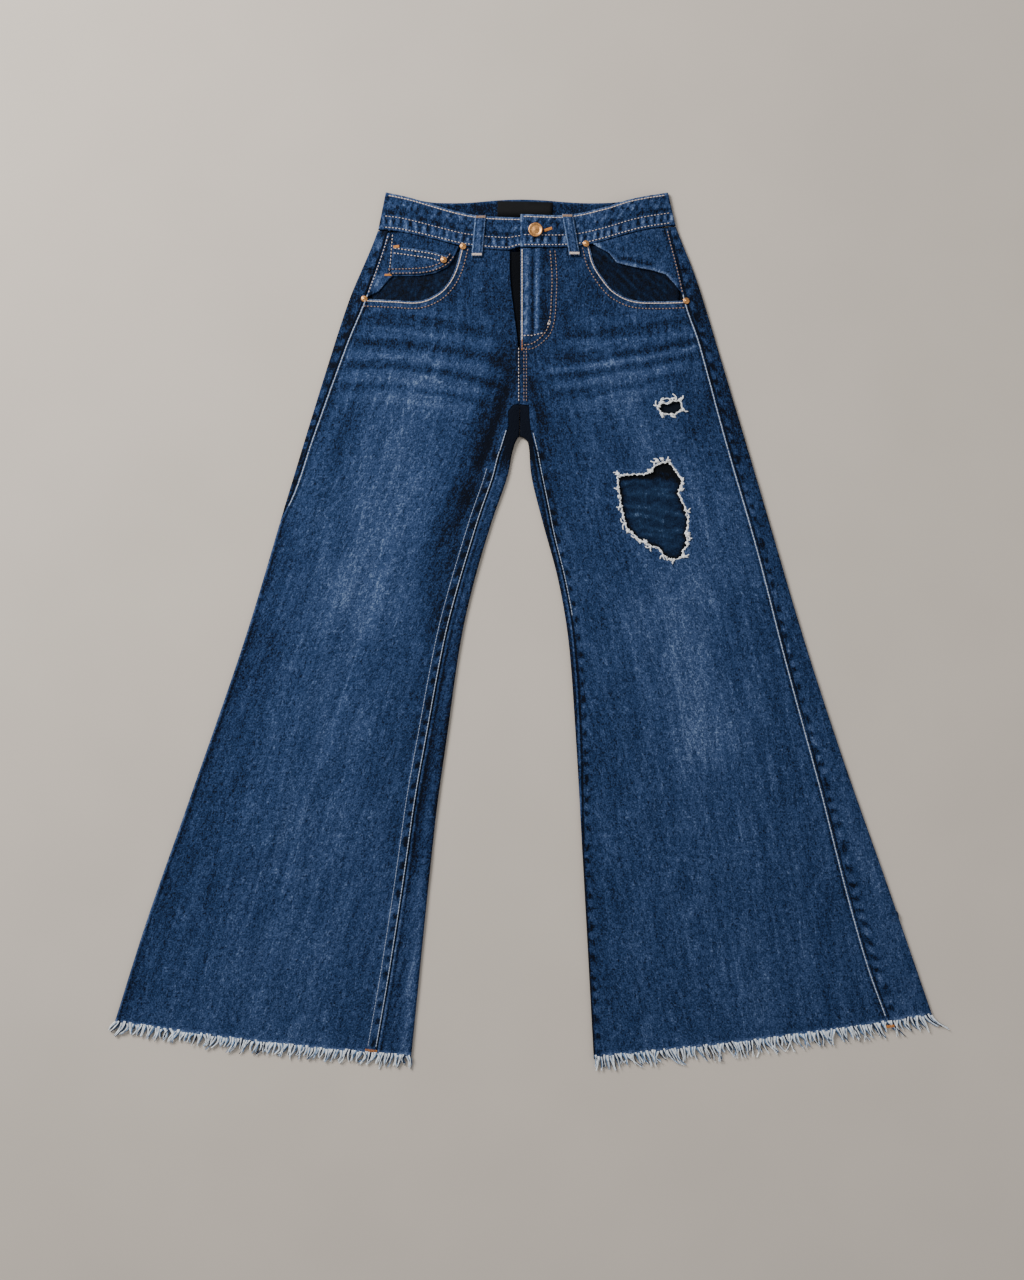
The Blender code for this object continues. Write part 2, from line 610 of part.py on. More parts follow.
# Fastenings
def turned(name, profile, steps, place, look, collection):
    """A turned solid from a profile of (radius, height), outer side first."""
    bm = bmesh.new()
    verts = [bm.verts.new((radius, 0.0, height)) for radius, height in profile]
    for first, second in zip(verts, verts[1:]):
        bm.edges.new((first, second))
    made = finish(name, bm, look, collection)
    screw = made.modifiers.new("Turn", "SCREW")
    screw.steps = steps
    screw.render_steps = steps
    screw.use_merge_vertices = True
    screw.merge_threshold = 0.00001
    made.location = place
    return made


def rivet(name, place, collection):
    radius = RIVET_RADIUS
    profile = [(0.0, 0.0016), (radius * 0.38, 0.0014), (radius * 0.55, 0.0008), (radius * 0.85, 0.0008),
               (radius, 0.0), (0.0, 0.0)]
    return turned(f"rivet_{name}", profile, 12, place, COPPER, collection)


def button(place, collection):
    radius = BUTTON_RADIUS
    profile = [(0.0, 0.0036), (radius * 0.55, 0.0034), (radius * 0.72, 0.0030), (radius * 0.86, 0.0038),
               (radius * 0.97, 0.0034), (radius, 0.0024), (radius * 0.90, 0.0012), (radius * 0.42, 0.0010),
               (radius * 0.36, 0.0), (0.0, 0.0)]
    return turned("button", profile, 20, place, COPPER, collection)


# Frayed hems
def hem_line(side, level):
    """Ends and bow of the hem on one layer, inside the folded edges."""
    outer, inner, bow = leg_rows(side)[-1]
    inset = (inner - outer).normalized() * (0.0035 if level == "front" else 0.0045)
    return outer + inset, inner - inset, bow


def fringe(level, side, collection):
    """A narrow strip parted from the hem, with its strands drawn out of it."""
    rng = random.Random(f"{level} {side}")
    start, end, bow = hem_line(side, level)
    away = Vector(((end - start).y, -(end - start).x)).normalized()
    if away.y > 0:
        away.negate()
    cells = 2 * STRANDS + 1
    root = ROOT_HEIGHT[level]
    bm = bmesh.new()
    bmesh.ops.create_grid(bm, x_segments=cells, y_segments=1, size=0.5)
    bm.verts.ensure_lookup_table()
    for index, vert in enumerate(bm.verts):
        share = (index % (cells + 1)) / cells
        flat = start.lerp(end, share) + away * (2 * HALF_SEAM + STRIP_WIDTH * (index // (cells + 1)))
        flat.y -= bow * 4.0 * share * (1.0 - share)
        vert.co = (flat.x, flat.y, root)
    bmesh.ops.recalc_face_normals(bm, faces=bm.faces)
    bmesh.ops.solidify(bm, geom=bm.faces[:], thickness=LINING)
    low = min(vert.co.z for vert in bm.verts)
    high = max(vert.co.z for vert in bm.verts)
    bmesh.ops.translate(bm, verts=bm.verts, vec=(0.0, 0.0, root - (low + high) / 2))
    bm.normal_update()
    along = (end - start).normalized()
    outer_faces = [face for face in bm.faces if face.normal.xy.dot(away) > 0.7]
    outer_faces.sort(key=lambda face: face.calc_center_median().xy.dot(along))
    for index, face in enumerate(outer_faces[1::2]):
        splay = -SPLAY * (1.0 - smooth(0.0, SPLAY_REACH, index / STRANDS))
        grow_strand(bm, face, away, along, splay, level, side, rng)
    return finish(f"fringe_{level}_{side}", bm, THREAD_PALE, collection)


def grow_strand(bm, face, away, along, splay, level, side, rng):
    """Draws one tapering strand out of a face of the strip."""
    length = FRINGE_LENGTH[side] * rng.uniform(0.62, 1.0)
    lean = (rng.uniform(-0.35, 0.35) + splay) * length
    base = face.calc_center_median()
    root = ROOT_HEIGHT[level]
    for share, width, fall in zip((0.5, 1.0), (0.55, 0.0), STRAND_FALL[level]):
        grown = bmesh.ops.extrude_discrete_faces(bm, faces=[face])
        face = grown["faces"][0]
        flat = base.xy + away * length * share + along * lean * share * share
        middle = Vector((flat.x, flat.y, root - fall))
        corners = list(face.verts)
        centre = face.calc_center_median()
        if width == 0.0:
            bmesh.ops.pointmerge(bm, verts=corners, merge_co=middle)
            return
        for vert in corners:
            vert.co = middle + (vert.co - centre) * width


def clear_scene():
    for item in list(bpy.data.objects):
        bpy.data.objects.remove(item)


def new_collection(name):
    made = bpy.data.collections.new(name)
    bpy.context.scene.collection.children.link(made)
    return made


def cut_rips(panel, cutters):
    """Cuts the two rips through the left thigh."""
    for name, outline in (("large_rip", LARGE_RIP), ("small_rip", SMALL_RIP)):
        plate = flat_plate(name, outline, CUTTER_BOTTOM, CUTTER_DEPTH, DENIM, cutters)
        cutter = as_mesh(plate, cutters)
        cutter.hide_render = True
        cutter.display_type = "WIRE"
        cut = panel.modifiers.new(name, "BOOLEAN")
        cut.operation = "DIFFERENCE"
        cut.solver = "EXACT"
        cut.object = cutter


def pockets_and_fly(parts):
    seam_right = [(curve_value(OUTER_RIGHT, y) + curve_value(OUTSEAM_RIGHT, y) + 3 * HALF_SEAM, y)
                  for y in (0.3970, 0.4130, 0.4300, 0.4450, 0.4600, 0.4730)]
    seam_left = [(curve_value(OUTER_LEFT, y) - curve_value(OUTSEAM_LEFT, y) - 3 * HALF_SEAM, y)
                 for y in (0.3960, 0.4130, 0.4300, 0.4450, 0.4600, 0.4785)]
    top_right = [(x, edge_height(BAND_LOW_RIGHT, x) - 2 * HALF_SEAM) for x in (-0.146, -0.122, -0.099)]
    top_left = [(x, edge_height(BAND_LOW_LEFT, x) - 2 * HALF_SEAM) for x in (0.155, 0.137, 0.115, 0.095)]
    laid("pocket_facing_right", FACING_RIGHT + seam_right + top_right, front_height, 0.0, CLOTH, DENIM, parts)
    laid("pocket_facing_left", FACING_LEFT + seam_left + top_left, front_height, 0.0, CLOTH, DENIM, parts)
    laid("pocket_bag_right", BAG_RIGHT, front_height, UNDER_LAYER, LINING, DARK_DENIM, parts)
    laid("pocket_bag_left", BAG_LEFT, front_height, UNDER_LAYER, LINING, DARK_DENIM, parts)
    laid("coin_pocket", COIN_POCKET, front_height, OVER_LAYER, LINING, DENIM, parts)
    laid("fly_facing", FLY_FACING, front_height, 0.0, CLOTH, DENIM, parts)
    laid("fly_shield", FLY_SHIELD, front_height, UNDER_LAYER, LINING, DARK_DENIM, parts)
    laid("rip_patch", PATCH, front_height, UNDER_LAYER, LINING, DARK_DENIM, parts)
    laid("label", LABEL, back_band_height, BAND / 2 + GAP + LABEL_WALL / 2, LABEL_WALL, LABEL_BLACK, parts)


def fastenings(parts):
    for name, (x, y) in RIVETS.items():
        if name == "coin":
            seat = front_height(x, y) + OVER_LAYER + LINING / 2
        elif name == "left_inner":
            seat = left_band_height(x, y) + BAND / 2
        elif name == "right_inner":
            seat = right_band_height(x, y) + BAND / 2
        else:
            seat = front_height(x, y) + CLOTH / 2
        rivet(name, (x, y, seat + 1.5 * GAP), parts)
    x, y = BUTTON_PLACE
    button((x, y, left_band_height(x, y) + BAND / 2 + 1.5 * GAP), parts)


def build():
    clear_scene()
    parts = new_collection(OBJECT_NAME)
    cutters = new_collection("cutters")
    cutters.hide_render = True
    front_panel("right", front_height, parts)
    cut_rips(front_panel("left", left_front_height, parts), cutters)
    for side in ("right", "left"):
        back_panel(side, parts)
        yoke(side, parts)
        flat_plate(f"back_pocket_{side}", pocket_outline(*BACK_POCKETS[side]), 0.0, CLOTH, DENIM, parts)
    front_band("right", right_band_height, 15, parts)
    front_band("left", left_band_height, 14, parts)
    back_band(26, parts)
    front_loop("right", right_band_height, parts)
    front_loop("left", left_band_height, parts)
    for name, spot in BACK_LOOPS.items():
        flat_plate(f"belt_loop_back_{name}", box_outline(*spot), 0.0, CLOTH, DENIM, parts)
    pockets_and_fly(parts)
    fastenings(parts)
    for side in ("right", "left"):
        for level in ("front", "back"):
            fringe(level, side, parts)


build()
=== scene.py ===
import json
import math
import random

import bmesh
import bpy
import numpy as np
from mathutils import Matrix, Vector

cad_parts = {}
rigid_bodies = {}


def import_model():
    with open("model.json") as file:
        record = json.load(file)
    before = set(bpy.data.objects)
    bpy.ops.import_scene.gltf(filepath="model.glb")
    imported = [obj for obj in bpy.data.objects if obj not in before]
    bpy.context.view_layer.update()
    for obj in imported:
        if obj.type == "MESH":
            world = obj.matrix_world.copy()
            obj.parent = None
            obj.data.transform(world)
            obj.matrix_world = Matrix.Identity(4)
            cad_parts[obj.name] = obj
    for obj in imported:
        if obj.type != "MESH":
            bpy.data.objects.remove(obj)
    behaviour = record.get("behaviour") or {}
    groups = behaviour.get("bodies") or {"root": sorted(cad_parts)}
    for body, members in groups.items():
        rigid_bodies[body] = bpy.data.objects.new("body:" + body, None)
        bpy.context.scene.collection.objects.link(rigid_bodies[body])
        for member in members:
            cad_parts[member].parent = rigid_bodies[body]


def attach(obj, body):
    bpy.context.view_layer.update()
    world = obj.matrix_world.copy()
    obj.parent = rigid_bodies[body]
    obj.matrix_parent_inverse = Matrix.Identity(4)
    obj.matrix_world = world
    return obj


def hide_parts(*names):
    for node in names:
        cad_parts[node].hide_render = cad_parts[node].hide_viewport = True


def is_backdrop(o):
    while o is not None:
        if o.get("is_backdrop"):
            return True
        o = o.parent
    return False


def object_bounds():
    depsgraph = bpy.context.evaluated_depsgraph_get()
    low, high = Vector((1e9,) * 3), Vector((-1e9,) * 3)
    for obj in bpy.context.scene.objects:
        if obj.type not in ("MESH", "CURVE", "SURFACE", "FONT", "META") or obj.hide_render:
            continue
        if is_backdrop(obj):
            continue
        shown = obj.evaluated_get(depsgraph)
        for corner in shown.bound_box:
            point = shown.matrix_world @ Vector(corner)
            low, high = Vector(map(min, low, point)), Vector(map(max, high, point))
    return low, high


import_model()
for item in list(bpy.data.objects):
    if item.name in ("Cube", "Light", "Camera"):
        bpy.data.objects.remove(item)
cadLow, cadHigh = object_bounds()
print("stage: frame loaded")

# Sizes in metres. Right and left are the wearer's, so the right leg lies on the -X side.
cloth = {"denim": 0.0012, "band": 0.0020, "lining": 0.0010, "gap": 0.0003, "layerGap": 0.0006,
         "topLayer": 0.0040, "mouthRise": 0.0060, "halfSeam": 0.00025, "bandSeam": 0.0005,
         "centre": -0.0045, "flyEdge": -0.0035, "hemBow": 0.004, "edgeStep": 0.0012, "seamsAbove": 0.0024,
         "holesAbove": 0.0025, "secondRow": 0.0118, "mouthHalf": 0.168, "padFlat": 0.024, "padSlope": 0.020,
         "topRun": 0.004, "endSteps": 6}
cloth["under"] = -(cloth["denim"] / 2 + cloth["layerGap"] + cloth["lining"] / 2)
cloth["over"] = -cloth["under"]

outerEdge = {
    "right": [(-0.163, 0.521), (-0.172, 0.477), (-0.206, 0.394), (-0.237, 0.299), (-0.280, 0.158),
              (-0.330, -0.008), (-0.395, -0.196), (-0.445, -0.338), (-0.484, -0.461)],
    "left": [(0.171, 0.521), (0.180, 0.482), (0.205, 0.417), (0.241, 0.299), (0.283, 0.158),
             (0.332, -0.008), (0.378, -0.149), (0.428, -0.291), (0.484, -0.453)]}
innerEdge = {
    "right": [(-0.0085, 0.228), (-0.0127, 0.2165), (-0.019, 0.186), (-0.037, 0.134), (-0.058, 0.063),
              (-0.074, -0.008), (-0.091, -0.126), (-0.104, -0.220), (-0.133, -0.502)],
    "left": [(0.006, 0.240), (0.0068, 0.2165), (0.0095, 0.185), (0.022, 0.134), (0.041, 0.063),
             (0.053, -0.008), (0.062, -0.126), (0.070, -0.267), (0.083, -0.503)]}
outSeam = {
    "right": [(0.012, 0.477), (0.018, 0.395), (0.014, 0.343), (0.008, 0.232), (0.006, 0.169), (0.0, 0.134)],
    "left": [(0.010, 0.477), (0.021, 0.391), (0.019, 0.342), (0.022, 0.224), (0.023, 0.087),
             (0.029, -0.045), (0.037, -0.176), (0.049, -0.297), (0.055, -0.392), (0.054, -0.466)]}
inSeam = {
    "right": [(0.012, 0.228), (0.015, 0.194), (0.015, 0.087), (0.018, -0.014), (0.024, -0.153),
              (0.028, -0.284), (0.034, -0.399), (0.041, -0.495)],
    "left": [(0.006, 0.228), (0.011, 0.181), (0.007, 0.100), (0.006, -0.100), (0.0, -0.267)]}
crotchSeam = {
    "right": [(-0.0047, 0.2707), (-0.0120, 0.2707), (-0.0182, 0.262), (-0.0177, 0.245)],
    "left": [(-0.0043, 0.2707), (0.0065, 0.2700), (0.0072, 0.255), (0.0090, 0.238)]}
crotchTurns = {
    "right": [((-0.0052, 0.2320), (0.0, 1.0)), ((-0.0061, 0.2318), (-0.1, 1.0)),
              ((-0.0071, 0.2308), (-0.4, 0.9)), ((-0.0080, 0.2290), (-0.7, 0.7)),
              ((-0.0095, 0.2262), (-0.9, 0.4)), ((-0.0110, 0.2220), (-1.0, 0.1))],
    "left": [((-0.0038, 0.2320), (0.0, 1.0)), ((-0.0022, 0.2318), (0.1, 1.0)),
             ((0.0004, 0.2308), (0.4, 0.9)), ((0.0030, 0.2290), (0.7, 0.7)),
             ((0.0050, 0.2262), (0.9, 0.4)), ((0.0060, 0.2220), (1.0, 0.1))]}
hem = {"right": (-0.461, -0.502), "left": (-0.453, -0.503)}
legTop = (0.212, 0.2165)
inward = {"right": 1.0, "left": -1.0}
centreEdge = {"right": cloth["centre"] - cloth["halfSeam"], "left": cloth["centre"] + cloth["halfSeam"]}
bandTop = {
    "right": [(-0.163, 0.521), (-0.134, 0.514), (-0.081, 0.498), (-0.040, 0.491), (0.036, 0.489)],
    "left": [(-0.0035, 0.493), (0.050, 0.4925), (0.095, 0.502), (0.126, 0.512), (0.171, 0.521)],
    "back": [(-0.163, 0.521), (-0.101, 0.509), (-0.004, 0.513), (0.100, 0.509), (0.171, 0.521)]}
bandLow = {
    "right": [(-0.172, 0.477), (-0.146, 0.474), (-0.099, 0.463), (-0.0735, 0.457), (-0.020, 0.4512),
              (-0.0055, 0.4548), (0.036, 0.4548)],
    "left": [(-0.0035, 0.454), (0.043, 0.4545), (0.0775, 0.4585), (0.137, 0.475), (0.180, 0.483)],
    "back": [(-0.172, 0.477), (cloth["centre"], 0.466), (0.180, 0.483)]}
scoop = {
    "right": [((-0.0735, 0.4558), 0.4500), ((-0.080, 0.432), 0.425), ((-0.089, 0.414), 0.402),
              ((-0.103, 0.4005), 0.381), ((-0.124, 0.3925), 0.363), ((-0.155, 0.3935), 0.345),
              ((-0.1875, 0.3950), 0.324)],
    "left": [((0.0775, 0.4578), 0.4534), ((0.083, 0.437), 0.430), ((0.094, 0.419), 0.405),
             ((0.108, 0.4035), 0.382), ((0.130, 0.3935), 0.360), ((0.160, 0.3920), 0.338),
             ((0.1915, 0.3930), 0.324)]}
slitEdge = [-0.0160, -0.0160, -0.0140, -0.0115, -0.0092, -0.0070]
backLoops = {"right": (-0.118, 0.4865, 0.0063, 0.0220), "centre": (cloth["centre"], 0.4860, 0.0063, 0.0255),
             "left": (0.118, 0.4875, 0.0063, 0.0215)}
backPockets = {"right": (-0.105, 0.315, 0.066, 0.072), "left": (0.098, 0.315, 0.066, 0.072)}
largeRip = [(0.1115, 0.1858), (0.1162, 0.187), (0.1469, 0.1888), (0.1546, 0.1976), (0.164, 0.2024),
            (0.1724, 0.2024), (0.1799, 0.1929), (0.187, 0.1811), (0.187, 0.174), (0.183, 0.1658),
            (0.1877, 0.1563), (0.1925, 0.1445), (0.1953, 0.1339), (0.1941, 0.1245), (0.1918, 0.1186),
            (0.1941, 0.1091), (0.1925, 0.1032), (0.1888, 0.0985), (0.1882, 0.0914), (0.1811, 0.0879),
            (0.1705, 0.0872), (0.164, 0.095), (0.1599, 0.1009), (0.1504, 0.1032), (0.1375, 0.1103),
            (0.1292, 0.1174), (0.1221, 0.1251), (0.1186, 0.1351), (0.1162, 0.1457), (0.1139, 0.1552),
            (0.1139, 0.1646), (0.1115, 0.1752)]
smallRip = [(0.1587, 0.2673), (0.1622, 0.2732), (0.1693, 0.2708), (0.1752, 0.2743), (0.1847, 0.2755),
            (0.1864, 0.2696), (0.1882, 0.2637), (0.1823, 0.2614), (0.1788, 0.2578), (0.1717, 0.259),
            (0.1634, 0.259), (0.1599, 0.2637)]


def between(a, b, share):
    return a + (b - a) * share


def smooth(low, high, value):
    share = np.clip((value - low) / (high - low), 0.0, 1.0)
    return share * share * (3.0 - 2.0 * share)


def bell(value, middle, width):
    return np.exp(-(((value - middle) / width) ** 2))


def curveValue(points, at):
    pts = sorted((key, value) for value, key in points)
    at = min(max(at, pts[0][0]), pts[-1][0])
    index = 0
    while index < len(pts) - 2 and at > pts[index + 1][0]:
        index += 1
    (k0, v0), (k1, v1) = pts[index], pts[index + 1]
    slope = (v1 - v0) / (k1 - k0)

    def tangent(i):
        if i == 0 or i == len(pts) - 1:
            return slope
        return (pts[i + 1][1] - pts[i - 1][1]) / (pts[i + 1][0] - pts[i - 1][0])

    t = (at - k0) / (k1 - k0)
    m0, m1 = tangent(index) * (k1 - k0), tangent(index + 1) * (k1 - k0)
    return ((2 * t**3 - 3 * t**2 + 1) * v0 + (t**3 - 2 * t**2 + t) * m0
            + (-2 * t**3 + 3 * t**2) * v1 + (t**3 - t**2) * m1)


def edgeHeight(points, x):
    return curveValue([(y, key) for key, y in points], x)


def alongList(values, share):
    # Smooth value of a list of numbers at a share of its length
    return curveValue([(value, index) for index, value in enumerate(values)], share * (len(values) - 1))


# Each stroke: two ends, half width, height and sideways bow of a soft mark or fold
def strokeField(x, y, strokes):
    total = np.zeros(np.shape(x))
    for x0, y0, x1, y1, width, height, bow in strokes:
        dx, dy = x1 - x0, y1 - y0
        long = math.hypot(dx, dy)
        along = np.clip(((x - x0) * dx + (y - y0) * dy) / long**2, 0.0, 1.0)
        bend = 4.0 * bow * along * (1.0 - along)
        awayX, awayY = x - x0 - along * dx + bend * dy / long, y - y0 - along * dy - bend * dx / long
        near = np.clip(1.0 - (awayX**2 + awayY**2) / width**2, 0.0, 1.0)
        total = total + height * near**2
    return total


def ripple(x, y, size):
    # A soft uneven field from -1 to 1, the same wherever it is asked for
    a, b = x / size, y / size
    first = np.sin(2.1 * a + 1.3 * np.sin(1.7 * b + 0.4) + 0.9)
    second = np.sin(2.6 * b + 1.1 * np.sin(2.3 * a + 1.9))
    return (first + second + np.sin(3.7 * a - 2.9 * b + 2.0)) / 3.0


broadFolds = [(-0.100, 0.180, -0.200, -0.200, 0.050, 0.0014, 0),
              (-0.300, -0.180, -0.360, -0.400, 0.050, 0.0013, 0),
              (0.060, -0.020, 0.149, -0.200, 0.045, 0.0016, 0),
              (0.250, 0.050, 0.300, -0.330, 0.050, 0.0013, 0),
              (-0.170, 0.330, -0.040, 0.312, 0.030, 0.0012, 0),
              (0.060, 0.312, 0.170, 0.345, 0.030, 0.0012, 0)]


def padHeight(x, y):
    lift = np.zeros(np.shape(x))
    for middleX, middleY, halfX, halfY in [*backLoops.values(), *backPockets.values()]:
        away = np.hypot(np.maximum(abs(x - middleX) - halfX, 0.0), np.maximum(abs(y - middleY) - halfY, 0.0))
        lift = np.maximum(lift, 1.0 - np.clip((away - cloth["padFlat"]) / cloth["padSlope"], 0.0, 1.0))
    return (cloth["denim"] + cloth["gap"]) * lift


def frontHeight(x, y):
    mouth = np.maximum(0.0, 1.0 - ((x - 0.004) / cloth["mouthHalf"]) ** 2) * smooth(0.355, 0.455, y)
    return cloth["topLayer"] + padHeight(x, y) + cloth["mouthRise"] * mouth + strokeField(x, y, broadFolds)


def leftFrontHeight(x, y):
    fly = (1.0 - smooth(0.036, 0.085, x)) * smooth(0.322, 0.337, y)
    return frontHeight(x, y) + (cloth["denim"] + cloth["layerGap"]) * fly


def rightBandHeight(x, y):
    return frontHeight(x, y) + (cloth["band"] - cloth["denim"]) / 2


def leftBandHeight(x, y):
    return rightBandHeight(x, y) + (cloth["band"] + cloth["gap"]) * (1.0 - smooth(0.038, 0.100, x))


def backHeight(x, y):
    return cloth["denim"] / 2 + padHeight(x, y)


def backBandHeight(x, y):
    return cloth["band"] / 2 + padHeight(x, y)


# Seam lines as x at each y, for marks and puckers that follow them
def lineTable(edge, seam, way):
    ys = np.linspace(-0.51, 0.48, 240)
    return ys, np.array([curveValue(edge, y) + way * (curveValue(seam, y) if seam else 0.0) for y in ys])


lines = {}
for side in ("right", "left"):
    lines["outer", side] = lineTable(outerEdge[side], outSeam[side], inward[side])
    lines["inner", side] = lineTable(innerEdge[side], inSeam[side], -inward[side])
    lines["outerFold", side] = lineTable(outerEdge[side], None, 0)
    lines["innerFold", side] = lineTable(innerEdge[side], None, 0)


def fromLine(kind, side, x, y):
    # Sideways distance from a seam or fold, positive towards the middle of the leg
    way = inward[side] if kind.startswith("outer") else -inward[side]
    return (x - np.interp(y, *lines[kind, side])) * way


# Relief laid over every piece of the top layer. Strengths are in metres.
relief = {"unevenness": 0.00035, "pucker": 0.00055, "puckerLength": 0.0105, "seamRidge": 0.0005}
reliefStrokes = [
    (-0.185, 0.372, -0.030, 0.360, 0.010, 0.0006, 0.004),
    (-0.190, 0.346, -0.030, 0.332, 0.010, 0.0007, 0.006),
    (-0.205, 0.322, -0.030, 0.308, 0.010, 0.0007, 0.008),
    (-0.210, 0.300, -0.045, 0.292, 0.010, 0.0006, 0.008),
    (-0.215, 0.277, -0.060, 0.272, 0.011, 0.0005, 0.008),
    (0.060, 0.362, 0.185, 0.378, 0.010, 0.0006, -0.004),
    (0.050, 0.340, 0.200, 0.352, 0.010, 0.0007, -0.006),
    (0.030, 0.310, 0.205, 0.338, 0.009, 0.0007, -0.004),
    (0.035, 0.292, 0.190, 0.316, 0.010, 0.0006, -0.004),
    (0.040, 0.272, 0.150, 0.288, 0.010, 0.0005, -0.004),
    (-0.016, 0.300, -0.054, 0.190, 0.012, -0.0010, 0.004),
    (0.016, 0.262, 0.030, 0.170, 0.012, -0.0008, 0.003),
    (-0.150, 0.120, -0.235, -0.160, 0.016, 0.0010, 0.010),
    (-0.205, 0.060, -0.300, -0.260, 0.016, 0.0008, -0.012),
    (-0.120, -0.060, -0.170, -0.420, 0.016, 0.0009, 0.006),
    (-0.250, -0.120, -0.310, -0.450, 0.018, 0.0009, 0.010),
    (-0.380, -0.240, -0.430, -0.450, 0.016, 0.0008, 0.006),
    (0.055, -0.010, 0.150, -0.200, 0.013, 0.0011, 0.006),
    (0.075, -0.120, 0.165, -0.330, 0.016, 0.0009, 0.010),
    (0.120, 0.050, 0.190, -0.140, 0.016, 0.0009, -0.008),
    (0.190, 0.040, 0.260, -0.240, 0.016, 0.0009, 0.012),
    (0.110, -0.320, 0.135, -0.490, 0.015, 0.0008, 0.004),
    (0.230, -0.260, 0.270, -0.470, 0.018, 0.0009, 0.006),
    (0.330, -0.210, 0.390, -0.440, 0.016, 0.0008, -0.008),
    (0.215, 0.250, 0.245, 0.100, 0.012, 0.0008, 0.006),
    (-0.225, 0.230, -0.255, 0.120, 0.012, 0.0008, -0.004), (0.004, 0.448, 0.004, 0.352, 0.0045, 0.0009, 0),
    (0.020, 0.450, 0.019, 0.362, 0.0040, 0.0008, 0), (0.0125, 0.440, 0.0115, 0.365, 0.0035, -0.0004, 0)]


def seamWaves(x, y, width):
    # How near each leg seam is, and the wave of the puckers along it
    for (kind, side), (ys, xs) in lines.items():
        if kind.endswith("Fold"):
            continue
        away = x - np.interp(y, ys, xs)
        wobble = 1.2 * np.sin(y * 61.0) + 0.8 * np.sin(y * 143.0 + 1.0)
        wave = np.sin(2 * math.pi * (y + 0.35 * away) / relief["puckerLength"] + wobble)
        top = 0.440 if kind == "outer" else 0.222
        yield np.exp(-((away / width) ** 2)) * smooth(top + 0.006, top - 0.006, y), wave


def puckers(x, y):
    total = np.zeros(np.shape(x))
    for near, wave in seamWaves(x, y, 0.0065):
        total += near * (relief["pucker"] * wave + relief["seamRidge"])
    return total


def fineRelief(x, y):
    uneven = relief["unevenness"] * (ripple(x, y, 0.030) + 0.5 * ripple(x + 0.3, y * 0.5, 0.012))
    return (uneven + strokeField(x, y, reliefStrokes) + puckers(x, y)) * smooth(0.462, 0.448, y)


def polygonInside(x, y, outline):
    inside = np.zeros(np.shape(x), dtype=bool)
    for (x0, y0), (x1, y1) in zip(outline, outline[1:] + outline[:1]):
        if y0 != y1:
            crosses = ((y0 > y) != (y1 > y)) & (x < (x1 - x0) * (y - y0) / (y1 - y0) + x0)
            inside ^= crosses
    return inside


def polylineAway(x, y, path, closed=False):
    best = np.full(np.shape(x), 9.0)
    for (x0, y0), (x1, y1) in zip(path, path[1:] + (path[:1] if closed else [])):
        dx, dy = x1 - x0, y1 - y0
        along = np.clip(((x - x0) * dx + (y - y0) * dy) / (dx * dx + dy * dy), 0.0, 1.0)
        best = np.minimum(best, np.hypot(x - x0 - along * dx, y - y0 - along * dy))
    return best


